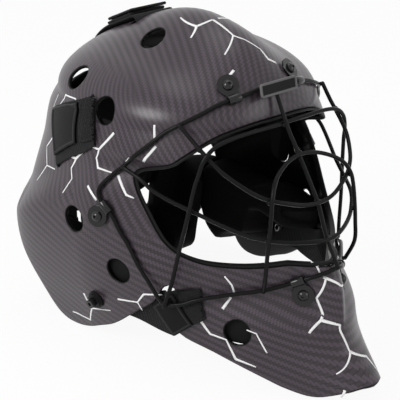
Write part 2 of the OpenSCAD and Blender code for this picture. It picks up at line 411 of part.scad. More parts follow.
module rivet_places() { both() for (q = rivets) on(q[0], q[1], -plate_inset) children();
    for (s = [-1, 1]) place(S(-180, plate_top - 9) - nrm(-180, plate_top - 9) * plate_inset + [s * 12, 0, 0], nrm(-180, plate_top - 9), [0, 0, 1]) children(); }
module back_plate() color([0.30, 0.28, 0.30]) difference() {
    rear_sheet(plate_w, plate_low, plate_top, plate_r, plate_inset, plate_inset + wall, 18, 16, 5);
    rivet_places() translate([0, 0, -8]) cylinder(h = 16, d = rivet_d + 0.3, $fn = 20);
}
module plate_rivets() color([0.5, 0.5, 0.51]) rivet_places() {
    translate([0, 0, -wall + 0.1]) cylinder(h = wall + strap_t + band_gap + 0.1, d = rivet_d, $fn = 20);
    translate([0, 0, strap_t + band_gap + 0.2]) cylinder(h = 1.2, d = 8, $fn = 32);
}
// strap end fixed to the top of the plate
module plate_strap_end() color([0.04, 0.04, 0.045]) difference() {
    sweep([for (v = [plate_top - 1, plate_top - 5, plate_top - 10, plate_top - 15, plate_top - 20]) off(-180, v, -plate_inset + 0.2)], [for (i = [0:4]) [0, 1, 0.5]],
        [[0, -top_strap_w / 2], [strap_t, -top_strap_w / 2], [strap_t, top_strap_w / 2], [0, top_strap_w / 2]]);
    rivet_places() translate([0, 0, -8]) cylinder(h = 16, d = rivet_d + 0.3, $fn = 20);
}
module back_pad() color([0.05, 0.05, 0.05]) rear_sheet(plate_w - 12, plate_low + 12, plate_top - 12, 28, plate_inset + wall + 0.3, plate_inset + wall + 0.3 + pad_t, 12, 12, 0);

// neck foam hung under the back pad, its wings reaching round behind the ear flaps:
// half-width, low and high edge of each station
nape_half = [[110.5, 46, 90], [106, 34, 91], [101, 21, 91], [94, 13, 91], [84, 11, 91], [72, 11, 90], [60, 11, 88], [52, 11, 84], [46, 11, plate_low + 11.7], [44, 11, 50], [29, 11, 50], [26, 11, plate_low + 11.7]];
nape_rows = concat([for (q = nape_half) [aw(q[0], 60) - 360, q[1], q[2]]], [[-180, 11, plate_low + 11.7]], [for (i = [len(nape_half) - 1:-1:0]) let (q = nape_half[i]) [-aw(q[0], 60), q[1], q[2]]]);
nape_C = [for (q = nape_rows) [[q[0], q[1]], [q[0], q[2]]]];
// the foam is fullest low down and thins towards its top, in the middle (wing = 0) from half its height
function roll(wing, w) = sm((3 + 9 * wing) * (1 - w) - 1.2 * (1 - wing)) * (0.5 + 0.5 * sm(w / 0.12));
function nape_in(u) = plate_inset + 0.3 + 1.2 * sm(4 * abs(2 * u - 1) - 1);
module nape_pad() color([0.04, 0.04, 0.04]) slab(nape_C, 32, 6,
    function(u, w) -nape_in(u) - nape_t * (0.2 + 0.8 * rim(u, 0.05) * roll(sm((abs(2 * u - 1) - 0.55) / 0.15), w)), function(u, w) -nape_in(u), inside = true);

// ---- top strap ----------------------------------------------------------------------
module top_strap() color([0.04, 0.04, 0.045]) {
    P = concat([off(-180, 288, -wall - 9.2), off(-180, 285.6, -wall - 5.4), off(-180, 283.4, -0.9)], [for (v = [281.6, 275, 265, 255, 245, 235, 225, 217, 211]) off(-180, v, 2 * lift)],
        [S(-180, 206) + [0, 0.6, 0.6], [0, S(-180, plate_top)[1] - plate_inset + 0.8, plate_top + 0.6 + origin[2]]]);
    sweep(P, [for (p = P) [0, 0.7, 1]], [[0, -top_strap_w / 2], [strap_t, -top_strap_w / 2], [strap_t, top_strap_w / 2], [0, top_strap_w / 2]]);
}
// stiff tab folded back over the strap
module top_tab() color([0.07, 0.07, 0.075]) {
    P = [for (q = [[281, 5.7], [277, 5.8], [272, 5.8], [267, 5.7], [262, 5.7], [257, 5.7]]) off(-180, q[0], q[1])];
    sweep(P, [for (p = P) [0, 0.7, 1]], [[0, -top_tab_w / 2], [tab_t, -top_tab_w / 2], [tab_t, top_tab_w / 2], [0, top_tab_w / 2]]);
}
module top_hook() color([0.03, 0.03, 0.035]) {
    P = [for (q = [[279.5, 3], [275, 3], [270, 3], [265, 3], [260, 3], [254, 3]]) off(-180, q[0], q[1])];
    sweep(P, [for (p = P) [0, 0.7, 1]], [[0, -top_tab_w / 2 + 1], [top_hook_t, -top_tab_w / 2 + 1], [top_hook_t, top_tab_w / 2 - 1], [0, top_tab_w / 2 - 1]]);
}
top_tab_w = top_strap_w - 3;
top_hook_t = 2.4;

// ---- padding ----------------------------------------------------------------------------
module pad(C, nu, nw, t = pad_t, more = 0) color([0.04, 0.04, 0.04]) slab(C, nu, nw,
    function(u, w) -pad_gap - more - t * (0.3 + 0.7 * rim(u, 0.28) * rim(w, 0.28)), function(u, w) -pad_gap - more, inside = true);
// height on the dome of the forehead pad's lower edge, just over the face opening
brow_v = 205 + asin((brow_top + 2 - 205) / (dome_top - 205)) / 0.9;
module forehead_pad() pad([[-42, brow_v], [42, brow_v], [40, brow_v + 20], [-40, brow_v + 20]], 16, 6);
module crown_pad() pad([[-128, 250], [-62, 250], [-58, 278], [-132, 278]], 10, 8);
// low and high places of each station, from behind the temple forward, with a lobe in front of the ear
temple_C = [[[-93, 170], [-93, 203]], [[-90, 168], [-90, 203]], [[-88.3, 114], [-88, 203]], [[-84, 114], [-81, 203]], [[-81, 168], [-78, 203]], [[-69.5, 171], [-71.5, 203]], [[-62, 172], [-66, 203]]];
module temple_pad() color([0.04, 0.04, 0.04]) slab(temple_C, 24, 12, function(u, w) -pad_gap - 1.4 - pad_t * (0.3 + 0.7 * rim(u, 0.12) * rim(w, 0.16)), function(u, w) -pad_gap - 1.4, inside = true);
// low and high places of each station, from the ear flap's rear edge forward
cheek_C = [[[-110, 60], [-110, 90]], [[-103, 45], [-103, 90]], [[-97, 31], [-97, 90]], [[-92, 23], [-91, 90]], [[-90, 38], [-86.5, 92]], [[-88, 66], [-81, 96]], [[-79, 72], [-74, 98]], [[-70, 74], [-66, 99]], [[-61, 77], [-58, 99]]];
module cheek_pad() color([0.04, 0.04, 0.04]) slab(cheek_C, 24, 10, function(u, w) -pad_gap - 0.9 - cheek_t * (0.6 + 0.4 * rim(u, 0.2) * rim(w, 0.2)), function(u, w) -pad_gap - 0.9, inside = true);
// low and high places of each station of the chin pad, right side to the middle
chin_half = [[-49, 46, 68], [-40, 46, 71], [-31, 47, 75], [-25, 52, 79], [-12, 52, 80]];
chin_C = concat([for (q = chin_half) [[q[0], q[1]], [q[0], q[2]]]], [for (i = [len(chin_half) - 1:-1:0]) let (q = chin_half[i]) [[-q[0], q[1]], [-q[0], q[2]]]]);
module chin_pad() color([0.04, 0.04, 0.04]) slab(chin_C, 26, 6, function(u, w) -pad_gap - 1.4 - pad_t * (0.3 + 0.7 * rim(u, 0.14) * rim(w, 0.4)), function(u, w) -pad_gap - 1.4, inside = true);

// ---- sub-parts ------------------------------------------------------------------------------
module brow_clip_right() clip(0);
module brow_clip_left() left() clip(0);
module side_clip_right() clip(1);
module side_clip_left() left() clip(1);
module chin_clip_right() clip(2);
module chin_clip_left() left() clip(2);
module brow_screw_right() clip_screw(0);
module brow_screw_left() left() clip_screw(0);
module side_screw_right() clip_screw(1);
module side_screw_left() left() clip_screw(1);
module chin_screw_right() clip_screw(2);
module chin_screw_left() left() clip_screw(2);
module brow_nuts() both() clip_nut(0);
module side_nuts() both() clip_nut(1);
module chin_nuts() both() clip_nut(2);
module standoff_washers_right() standoff_washers();
module standoff_washers_left() left() standoff_washers();
module standoff_screw_right() standoff_screw();
module standoff_screw_left() left() standoff_screw();
module standoff_nuts() both() standoff_nut();
module side_strap_right() side_strap();
module side_strap_left() left() side_strap();
module side_tab_right() side_tab();
module side_tab_left() left() side_tab();
module side_hook_right() side_hook();
module side_hook_left() left() side_hook();
module side_band_right() side_band();
module side_band_left() left() side_band();
module jaw_strap_right() jaw_strap();
module jaw_strap_left() left() jaw_strap();
module jaw_tab_right() jaw_tab();
module jaw_tab_left() left() jaw_tab();
module jaw_hook_right() jaw_hook();
module jaw_hook_left() left() jaw_hook();
module crown_pad_right() crown_pad();
module crown_pad_left() left() crown_pad();
module temple_pad_right() temple_pad();
module temple_pad_left() left() temple_pad();
module cheek_pad_right() cheek_pad();
module cheek_pad_left() left() cheek_pad();

main_shell();
face_trim();
cage_frame();
cage_outer_arch();
cage_inner_arch();
cage_nose_bar();
cage_belt_bar();
cage_centre_bar();
badge_plate();
brow_clip_right();
brow_clip_left();
side_clip_right();
side_clip_left();
chin_clip_right();
chin_clip_left();
brow_screw_right();
brow_screw_left();
side_screw_right();
side_screw_left();
chin_screw_right();
chin_screw_left();
brow_nuts();
side_nuts();
chin_nuts();
standoff_washers_right();
standoff_washers_left();
standoff_screw_right();
standoff_screw_left();
standoff_nuts();
side_strap_right();
side_strap_left();
side_tab_right();
side_tab_left();
side_hook_right();
side_hook_left();
side_band_right();
side_band_left();
jaw_strap_right();
jaw_strap_left();
jaw_tab_right();
jaw_tab_left();
jaw_hook_right();
jaw_hook_left();
top_strap();
top_tab();
top_hook();
back_plate();
back_pad();
nape_pad();
plate_rivets();
plate_strap_end();
forehead_pad();
crown_pad_right();
crown_pad_left();
temple_pad_right();
temple_pad_left();
cheek_pad_right();
cheek_pad_left();
chin_pad();
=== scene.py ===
# %% [markdown]
# A floorball goalie helmet: a thin moulded shell, a wire cage over the face,
# straps with hook-and-loop ends, a plate at the back of the head and foam pads.
# The engineering model gives every part its place; here each part gets the
# form and the finish that the eye sees. Lengths are written in millimetres
# and turned into metres by the factor MM.

# %% Load the frame
import math
import bpy
import bmesh
import numpy as np
from mathutils import Matrix, Vector


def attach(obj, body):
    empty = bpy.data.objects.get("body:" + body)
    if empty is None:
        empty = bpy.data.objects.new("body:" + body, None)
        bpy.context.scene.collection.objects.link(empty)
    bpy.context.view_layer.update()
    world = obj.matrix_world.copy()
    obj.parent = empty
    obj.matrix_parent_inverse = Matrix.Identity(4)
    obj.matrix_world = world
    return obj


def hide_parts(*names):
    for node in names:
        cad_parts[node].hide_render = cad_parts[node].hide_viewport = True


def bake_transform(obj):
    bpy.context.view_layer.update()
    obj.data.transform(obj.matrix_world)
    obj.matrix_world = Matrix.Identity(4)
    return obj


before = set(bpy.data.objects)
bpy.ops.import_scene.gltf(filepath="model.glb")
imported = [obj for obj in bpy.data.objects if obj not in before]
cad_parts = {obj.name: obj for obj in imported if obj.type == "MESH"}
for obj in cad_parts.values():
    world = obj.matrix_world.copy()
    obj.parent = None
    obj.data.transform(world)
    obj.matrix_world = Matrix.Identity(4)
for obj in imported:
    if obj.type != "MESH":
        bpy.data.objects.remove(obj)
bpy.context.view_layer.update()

MM = 0.001

# %% [markdown]
# The camera stands where the photographer stood: in front of the wearer's
# right side and a little above. It was worked out from pairs of cage points
# that mirror each other. A long lens keeps the perspective mild.

# %% Camera
def aim(obj, target):
    """Turns an object so that its -Z axis points at the target, with Y up."""
    obj.rotation_euler = (Vector(target) - obj.location).to_track_quat("-Z", "Y").to_euler()

camera_data = bpy.data.cameras.new("photo_camera")
camera_data.lens, camera_data.sensor_width = 108, 36
camera = bpy.data.objects.new("photo_camera", camera_data)
camera.location = (-0.58125, -0.66712, 0.51469)
camera_target = (0, 0.033, 0.100)
bpy.context.collection.objects.link(camera)
aim(camera, camera_target)
bpy.context.scene.camera = camera
print("camera distance", round((camera.location - Vector(camera_target)).length, 3))

# %% [markdown]
# ## The shell's form
# The real shell is one moulding whose cross section changes from a pointed
# oval at the jaw to a round cap, with a raised crown band, flared ears and a
# hollow in front of the ear. The same rule that the engineering model uses is
# written here for whole arrays of places at once: `angle` runs from the face
# (0) round the right side (negative) to the back (180), `height` runs up the
# side and on over the dome.

# %% Sections of the shell
# height, then shares of the half width and of the front and back reach,
# then how square the front and the back of the section are
SECTIONS = np.array([
    (0, 0.852, 1.126, 1.045, 1.60, 6), (30, 0.898, 1.104, 1.045, 1.60, 6), (60, 0.954, 1.038, 1.045, 1.60, 6),
    (95, 1, 1, 1.045, 1.62, 5), (125, 1, 0.891, 1.040, 1.85, 3.6), (160, 0.963, 0.754, 1.030, 2.15, 2.7),
    (190, 0.917, 0.645, 1.000, 2.30, 2.5), (205, 0.882, 0.601, 0.940, 2.30, 2.3)])
HALF_WIDTH, REACH_FRONT, REACH_BACK = 108, 183, 110
DOME_START, DOME_TOP, WALL, MIDDLE_Y = 205, 250, 3, 20
DOME_RATE = 0.9       # degrees of turn for each unit of height over the dome
CHIN_DRAW, CROWN_LIFT, CROWN_HALF = 26, 22, 58
ORIGIN = np.array((0, 33, -10))

def section_value(height, column):
    """Smooth value between the sections, as a cubic with central slopes."""
    keys, values = SECTIONS[:, 0], SECTIONS[:, column]
    slopes = np.gradient(values, keys)
    slopes[1:-1] = (values[2:] - values[:-2]) / (keys[2:] - keys[:-2])
    i = np.clip(np.searchsorted(keys, height, side="right") - 1, 0, len(keys) - 2)
    span = keys[i + 1] - keys[i]
    t = (height - keys[i]) / span
    return ((2 * t**3 - 3 * t**2 + 1) * values[i] + (t**3 - 2 * t**2 + t) * span * slopes[i]
            + (3 * t**2 - 2 * t**3) * values[i + 1] + (t**3 - t**2) * span * slopes[i + 1])

def smooth(t):
    t = np.clip(t, 0, 1)
    return t * t * (3 - 2 * t)

def unit(v):
    """Vectors of length 1 in the same directions."""
    return v / np.linalg.norm(v, axis=-1, keepdims=True)

def face_outward(bm):
    """Turns every face of a bmesh outwards."""
    bmesh.ops.recalc_face_normals(bm, faces=bm.faces)

def shell_point(angle, height, depth=0):
    """Point on the shell in millimetres, depth under the outer face."""
    angle, height = np.broadcast_arrays(np.asarray(angle, float), np.asarray(height, float))
    low = np.minimum(height, DOME_START)
    turn = np.radians(np.maximum(0, height - DOME_START) * DOME_RATE)
    shrink = np.maximum(np.cos(turn), 0) ** 0.95
    z = low + (DOME_TOP - depth - DOME_START) * np.sin(turn)
    c, s = np.cos(np.radians(angle)), np.sin(np.radians(angle))
    front = c > 0
    width = (HALF_WIDTH * section_value(low, 1) - depth) * shrink
    reach = np.where(front, REACH_FRONT * section_value(low, 2), REACH_BACK * section_value(low, 3))
    reach = (reach - depth) * shrink
    power = 2 / np.where(front, section_value(low, 4), section_value(low, 5))
    x = width * np.sign(s) * np.abs(s) ** power
    y = MIDDLE_Y - reach * np.sign(c) * np.abs(c) ** power
    # the middle of the chin is drawn back low down
    y = y - np.where(front, CHIN_DRAW * smooth((48 - z) / 24) * np.exp(-(x / 30) ** 2), 0)
    # the ear flaps flare out under a ridge that falls towards the back
    ridge = np.interp(y, (-60, 0, 60, 105), (180, 165, 138, 112))
    flare = np.interp(y, (-100, -40, 20, 110), (0, 2, 5, 12)) * smooth((ridge + 12 - z) / 30) * np.abs(s)
    # a hollow runs down in front of the ear
    hollow = 0.25 * np.maximum(0, -8 - (151 - z) * 0.75 - y) * smooth((z - 62) / 25) * smooth((186 - z) / 18)
    x = x + np.sign(s) * (flare - np.minimum(hollow, np.abs(x) * 0.5))
    # the crown band is lifted away from the middle of the head
    band = np.where(np.abs(x) < CROWN_HALF, 0.5 + 0.5 * np.cos(np.pi * x / CROWN_HALF), 0)
    dy, dz = y - 20, z - 150
    far = np.hypot(dy, dz) + 0.001
    lift = CROWN_LIFT * smooth((dz / far - 0.45) / 0.5) * band * (1 - 0.75 * smooth(y / 85))
    return np.stack((x, y + dy / far * lift, z + dz / far * lift), -1) + ORIGIN

def shell_normal(angle, height):
    angle, height = np.asarray(angle, float), np.minimum(np.asarray(height, float), 303)
    return unit(np.cross(shell_point(angle + 1, height) - shell_point(angle - 1, height),
                         shell_point(angle, height + 1.5) - shell_point(angle, height - 1.5)))

def above_shell(angle, height, rise):
    """Point lifted off the outer face, in millimetres."""
    return shell_point(angle, height) + shell_normal(angle, height) * np.asarray(rise, float)[..., None]

print("ear width", round(float(np.ptp(shell_point((-90, 90), 95)[:, 0])), 1), "mm")

# %% [markdown]
# ## Finishes
# Effects that several finishes share are node groups, each built once: the
# printed carbon twill, the ribs of woven webbing, and the fine dust and
# handling marks that keep every surface from looking flat.

# %% Helpers for node groups
def new_group(name, inputs, outputs):
    """Node group with named sockets: inputs are (name, kind, default), outputs (name, kind)."""
    group = bpy.data.node_groups.new(name, "ShaderNodeTree")
    for label, kind, start in inputs:
        socket = group.interface.new_socket(name=label, in_out="INPUT", socket_type=kind)
        if start is not None:
            socket.default_value = start
    for label, kind in outputs:
        group.interface.new_socket(name=label, in_out="OUTPUT", socket_type=kind)
    return group, group.nodes.new("NodeGroupInput"), group.nodes.new("NodeGroupOutput")

def math_node(tree, operation, *values):
    """Math node whose inputs are numbers or sockets; returns its output."""
    node = tree.nodes.new("ShaderNodeMath")
    node.operation = operation
    for socket, value in zip(node.inputs, values):
        if isinstance(value, bpy.types.NodeSocket):
            tree.links.new(value, socket)
        else:
            socket.default_value = value
    return node.outputs[0]

def mix_colour(tree, amount, first, second):
    """Colour between two colours or sockets."""
    node = tree.nodes.new("ShaderNodeMix")
    node.data_type = "RGBA"
    for socket, value in ((node.inputs[0], amount), (node.inputs[6], first), (node.inputs[7], second)):
        if isinstance(value, bpy.types.NodeSocket):
            tree.links.new(value, socket)
        else:
            socket.default_value = value
    return node.outputs[2]

def cells(tree, place, size):
    """The first two coordinates of a place, counted in cells of a size."""
    parts = tree.nodes.new("ShaderNodeSeparateXYZ")
    tree.links.new(place, parts.inputs[0])
    return [math_node(tree, "DIVIDE", parts.outputs[k], size) for k in (0, 1)]

def laid_group(tree, group, map_name, label, size):
    """Node group laid on a UV map, with the size of its weave."""
    where = tree.nodes.new("ShaderNodeUVMap")
    where.uv_map = map_name
    node = tree.nodes.new("ShaderNodeGroup")
    node.node_tree = group
    node.inputs[label].default_value = size
    tree.links.new(where.outputs[0], node.inputs["Place"])
    return node

def grey(value):
    return (value, value, value, 1)

# %% [markdown]
# The print imitates 2 x 2 twill: each yarn runs over two and under two of the
# others, and the floats step sideways, which draws the diagonal ribs. A cell
# number in both directions tells which yarn is on top, and the place inside
# the cell rounds it off.

# %% Twill group
twill, twill_in, twill_out = new_group(
    "carbon_twill", [("Place", "NodeSocketVector", None), ("Yarn Width", "NodeSocketFloat", 0.002)],
    [("Light", "NodeSocketFloat"), ("Height", "NodeSocketFloat")])
turned = twill.nodes.new("ShaderNodeVectorRotate")
turned.rotation_type = "Z_AXIS"
turned.inputs["Angle"].default_value = math.radians(-45)
twill.links.new(twill_in.outputs["Place"], turned.inputs["Vector"])
cell_x, cell_y = cells(twill, turned.outputs[0], twill_in.outputs["Yarn Width"])
index = math_node(twill, "ADD", math_node(twill, "FLOOR", cell_x), math_node(twill, "FLOOR", cell_y))
warp_up = math_node(twill, "LESS_THAN", math_node(twill, "FLOORED_MODULO", index, 4.0), 1.5)
def bulge(cell):
    f = math_node(twill, "FRACT", cell)
    return math_node(twill, "MULTIPLY", math_node(twill, "MULTIPLY", f, math_node(twill, "SUBTRACT", 1.0, f)), 4.0)
across = math_node(twill, "ADD", math_node(twill, "MULTIPLY", bulge(cell_x), warp_up),
                   math_node(twill, "MULTIPLY", bulge(cell_y), math_node(twill, "SUBTRACT", 1.0, warp_up)))
WARP_SHARE, BULGE_SHARE = 0.62, 0.38
rounding = math_node(twill, "MULTIPLY", across, BULGE_SHARE)
twill.links.new(math_node(twill, "MULTIPLY_ADD", warp_up, WARP_SHARE, rounding), twill_out.inputs["Light"])
twill.links.new(across, twill_out.inputs["Height"])
print("twill group has", len(twill.nodes), "nodes")

# %% [markdown]
# Webbing is woven from thick cross threads: a fine rib across its width and a
# small step along it. Its map runs along the strap in metres. The rib height
# also lightens the colour on the rib tops, which is a painted highlight.

# %% Webbing group
webbing, webbing_in, webbing_out = new_group(
    "webbing_weave", [("Place", "NodeSocketVector", None), ("Rib", "NodeSocketFloat", 0.0016)],
    [("Light", "NodeSocketFloat"), ("Height", "NodeSocketFloat")])
rib_x, rib_y = cells(webbing, webbing_in.outputs["Place"], webbing_in.outputs["Rib"])
odd_rib = math_node(webbing, "FLOORED_MODULO", math_node(webbing, "FLOOR", rib_x), 2.0)
row = math_node(webbing, "MULTIPLY", odd_rib, 0.5)
def wave(place, share):
    turns = math_node(webbing, "MULTIPLY", place, 2 * math.pi)
    return math_node(webbing, "MULTIPLY", math_node(webbing, "SINE", turns), share)
both_waves = math_node(webbing, "ADD", wave(rib_x, 0.6), wave(math_node(webbing, "ADD", rib_y, row), 0.4))
rib_height = math_node(webbing, "MULTIPLY_ADD", both_waves, 0.5, 0.5)
webbing.links.new(rib_height, webbing_out.inputs["Height"])
# the same rib height goes out as Light: a painted highlight on the rib tops
webbing.links.new(rib_height, webbing_out.inputs["Light"])

# %% [markdown]
# Handling leaves faint cloudy changes in gloss and tiny specks. One group
# gives a slow cloud and a fine grain from the object's own coordinates.

# %% Wear group
wear, wear_in, wear_out = new_group(
    "handling_wear", [("Cloud Scale", "NodeSocketFloat", 18.0), ("Grain Scale", "NodeSocketFloat", 900.0)],
    [("Cloud", "NodeSocketFloat"), ("Grain", "NodeSocketFloat")])
place = wear.nodes.new("ShaderNodeTexCoord")
for label, scale, detail in (("Cloud", "Cloud Scale", 4.0), ("Grain", "Grain Scale", 2.0)):
    noise = wear.nodes.new("ShaderNodeTexNoise")
    noise.inputs["Detail"].default_value = detail
    wear.links.new(place.outputs["Object"], noise.inputs["Vector"])
    wear.links.new(wear_in.outputs[scale], noise.inputs["Scale"])
    wear.links.new(noise.outputs["Fac"], wear_out.inputs[label])

# %% A finish with wear, shared by all materials
def finish(name, dark, light, rough, rough_spread=0.08, bump=0.15,
           cloud=18.0, grain=900.0, grain_depth=0.0001, **fixed):
    """Principled material: colour between dark and light with the cloud, roughness
    round a middle value, and a grain bump. The fixed values go on the shader's own
    sockets. Returns the material, its tree, and the shader, wear and bump nodes."""
    material = bpy.data.materials.new(name)
    material.use_nodes = True
    tree = material.node_tree
    shader = tree.nodes["Principled BSDF"]
    marks = tree.nodes.new("ShaderNodeGroup")
    marks.node_tree = wear
    marks.inputs["Cloud Scale"].default_value = cloud
    marks.inputs["Grain Scale"].default_value = grain
    tree.links.new(mix_colour(tree, marks.outputs["Cloud"], (*dark, 1), (*light, 1)), shader.inputs["Base Color"])
    roughness = math_node(tree, "MULTIPLY_ADD", marks.outputs["Cloud"], rough_spread, rough - rough_spread / 2)
    tree.links.new(roughness, shader.inputs["Roughness"])
    relief = tree.nodes.new("ShaderNodeBump")
    relief.inputs["Strength"].default_value = bump
    relief.inputs["Distance"].default_value = grain_depth
    tree.links.new(marks.outputs["Grain"], relief.inputs["Height"])
    tree.links.new(relief.outputs["Normal"], shader.inputs["Normal"])
    for label, value in fixed.items():
        shader.inputs[label.replace("_", " ")].default_value = value
    material.diffuse_color = (*light, 1)
    return material, tree, shader, marks, relief

def rgb(value, warm=0.0):
    return (value * (1 + warm), value, value * (1 + warm * 0.6))

DULL = dict(Specular_IOR_Level=0.08)
cage_paint = finish("cage_wire_paint", rgb(0.005), rgb(0.010), 0.22, 0.08, 0.25, grain=1500, **DULL)[0]
clip_plastic = finish("clip_plastic", rgb(0.004), rgb(0.008), 0.14, 0.06, 0.05, Specular_IOR_Level=0.35)[0]
screw_black = finish("blackened_screw", rgb(0.012), rgb(0.024), 0.16, 0.08, 0.05, Metallic=0.5)[0]
fixing_steel = finish("zinc_steel", rgb(0.42), rgb(0.55), 0.32, 0.14, 0.2, Metallic=1.0)[0]
washer_rubber = finish("washer_rubber", rgb(0.006), rgb(0.014), 0.34, 0.12, 0.3, **DULL)[0]
trim_rubber = finish("trim_rubber", rgb(0.006), rgb(0.014), 0.42, 0.1, 0.3, **DULL)[0]
tab_vinyl = finish("tab_vinyl", rgb(0.004), rgb(0.009), 0.26, 0.1, 0.2, **DULL)[0]
tab_border = finish("tab_border", rgb(0.014), rgb(0.028), 0.34, 0.1, 0.2, **DULL)[0]
foam = finish("pad_foam", rgb(0.004), rgb(0.009), 0.8, 0.1, 0.8, grain=700, grain_depth=0.0004,
              Specular_IOR_Level=0.12)[0]
hook_pile = finish("hook_pile", rgb(0.004), rgb(0.016), 0.85, 0.1, 1.0, cloud=350, grain=1100, grain_depth=0.0006,
                   Sheen_Weight=0.1, Sheen_Roughness=0.5, Specular_IOR_Level=0.15)[0]
badge_grey = finish("badge_border", rgb(0.11, 0.02), rgb(0.15, 0.02), 0.4, 0.1, 0.2, **DULL)[0]
badge_black = finish("badge_field", rgb(0.006), rgb(0.014), 0.3, 0.08, 0.2, **DULL)[0]
shell_inside = finish("shell_inside", rgb(0.003), rgb(0.006), 0.3, 0.1, 0.1, cloud=9,
                      Specular_IOR_Level=0.15)[0]
line_white = finish("line_print", rgb(0.8), rgb(0.9), 0.42, 0.1, 0.1)[0]
print(len(bpy.data.materials), "materials so far")

# %% [markdown]
# The shell's face is the twill print under a satin coat. Three maps lay the
# yarns along the surface: one for the jaw, one for the brow and temples, and
# one for the top of the dome. Two painted masks fade between them.

# %% Shell print material
shell_print, tree, shader, marks, _ = finish(
    "shell_twill_print", rgb(0.005, 0.3), rgb(0.011, 0.3), 0.34, 0.08, 0.12, cloud=12,
    Specular_IOR_Level=0.3, Coat_Weight=0.12, Coat_Roughness=0.22)
zone = tree.nodes.new("ShaderNodeAttribute")
zone.attribute_name = "zone"
zones = tree.nodes.new("ShaderNodeSeparateColor")
tree.links.new(zone.outputs["Color"], zones.inputs[0])
def mix_value(amount, first, second):
    node = tree.nodes.new("ShaderNodeMix")
    for socket, value in ((0, amount), (2, first), (3, second)):
        tree.links.new(value, node.inputs[socket])
    return node.outputs[0]
jaw_twill, brow_twill, top_twill = (
    laid_group(tree, twill, map_name, "Yarn Width", yarn)
    for map_name, yarn in (("jaw_map", 0.0021), ("brow_map", 0.0018), ("top_map", 0.0018)))
below_dome = mix_value(zones.outputs[0], jaw_twill.outputs["Light"], brow_twill.outputs["Light"])
weave_light = mix_value(zones.outputs[1], below_dome, top_twill.outputs["Light"])
# the weave fades in patches, as on the moulding, where the cloud is thin
strength = math_node(tree, "MULTIPLY_ADD", marks.outputs["Cloud"], 1.1, 0.3)
faded = math_node(tree, "MULTIPLY_ADD", math_node(tree, "SUBTRACT", weave_light, 0.5), strength, 0.5)
light = math_node(tree, "MULTIPLY", faded, 0.75)
cloudy = shader.inputs["Base Color"].links[0].from_socket
lighter = mix_colour(tree, light, cloudy, (0.084, 0.064, 0.082, 1))
tree.links.new(lighter, shader.inputs["Base Color"])

# %% [markdown]
# ## The shell
# A flat grid is wrapped round the form, so its columns follow the angle and
# its rows the height. The openings are cut where a signed distance changes
# sign: edges that cross it are split there, the new points are joined across
# their faces, and what lies inside an opening is deleted. The rim is then
# extruded in small turns, so that light catches its rounded edge as on the
# moulding, and the inner skin closes the wall.

# %% Outlines of the openings
EDGE_FRONT = ((1.3661, 31), (1.2186, 30), (1.1639, 25), (1.0492, 16), (0.9399, 18), (0.8415, 24), (0.6503, 36),
              (0.5109, 44), (0.5027, 54), (0.4973, 74), (0.4891, 82), (0.4754, 86), (0.4508, 84), (0.429, 76),
              (0.3934, 67), (0.3279, 57), (0.2623, 47), (0.2077, 38.5), (0.1421, 30), (0.0656, 23))
EDGE_SIDE = [(MIDDLE_Y - q * REACH_FRONT, z) for q, z in EDGE_FRONT] + [
    (22, 16), (36, 11.5), (50, 10), (60, 12), (68, 17), (77, 27), (91, 46), (104, 68), (112, 96), (118, 108),
    (160, 112)]
FACE_RIGHT = ((0, 210), (-20, 209.5), (-40, 206), (-58, 199), (-74, 188), (-84, 177), (-89.5, 167), (-91, 157),
              (-90, 145), (-87.5, 130), (-84.5, 120), (-79, 112.5), (-70, 107.5), (-60, 105.8), (-46, 106),
              (-30, 108), (-15, 110.5), (0, 111))
VENTS = ((-89.4, 120), (-71.4, 88), (-40.4, 57.5), (-84, 281.6), (-104.4, 232.6), (-82, 213.7))
STANDOFF = (-82.2, 51.6)
SLOT_ENDS = ((-110.5, 191), (-98.8, 151.5))
TOP_SLOT = (-180, 284)
VENT_RADIUS, STANDOFF_RADIUS, SLOT_HALF = 10.5, 2.25, 3.5

def rounded_outline(points, closed, steps=4):
    """Catmull-Rom curve through the points, so that corners turn softly."""
    points = [np.array(p, float) for p in points]
    n, out = len(points), []
    for i in range(n if closed else n - 1):
        get = (lambda k: points[k % n]) if closed else (lambda k: points[min(max(k, 0), n - 1)])
        a, b, c, d = get(i - 1), get(i), get(i + 1), get(i + 2)
        for t in np.arange(steps) / steps:
            out.append(0.5 * (2 * b + (c - a) * t + (2 * a - 5 * b + 4 * c - d) * t * t
                              + (3 * b - a - 3 * c + d) * t**3))
    return np.array(out if closed else out + [points[-1]])

def outline_distance(points, outline):
    """Distance to a closed outline, negative inside it."""
    a, b = outline, np.roll(outline, -1, 0)
    side = b - a
    best, inside = np.full(len(points), 1e9), np.zeros(len(points), bool)
    for start, vector, end in zip(a, side, b):
        t = np.clip(((points - start) @ vector) / max(vector @ vector, 1e-12), 0, 1)
        best = np.minimum(best, np.linalg.norm(points - start - t[:, None] * vector, axis=1))
        crosses = (start[1] > points[:, 1]) != (end[1] > points[:, 1])
        at = start[0] + (points[:, 1] - start[1]) / (vector[1] if vector[1] else 1e-9) * vector[0]
        inside ^= crosses & (points[:, 0] < at)
    return np.where(inside, -best, best)

edge_curve = rounded_outline(EDGE_SIDE, False)
under_outline = np.vstack([edge_curve, [(200, 112), (200, -60), (-300, -60), (-300, 31)]])
face_half = rounded_outline(FACE_RIGHT, False)
face_outline = np.vstack([face_half, face_half[-2:0:-1] * (-1, 1)])

def local_frame(angle, height, along=(0, 0, 1)):
    """Origin and axes at a place: along the surface, across it, and outwards."""
    out = shell_normal(angle, height)
    along = np.array(along, float)
    first = unit(along - (along @ out) * out)
    return shell_point(angle, height), first, np.cross(out, first), out

def box_distance(past_side, past_end, rounding):
    """Distance to a rectangle with round corners, from how far points lie past its edges."""
    past = np.stack((past_side, past_end), -1)
    return np.linalg.norm(np.maximum(past, 0), axis=1) + np.minimum(past.max(1), 0) - rounding

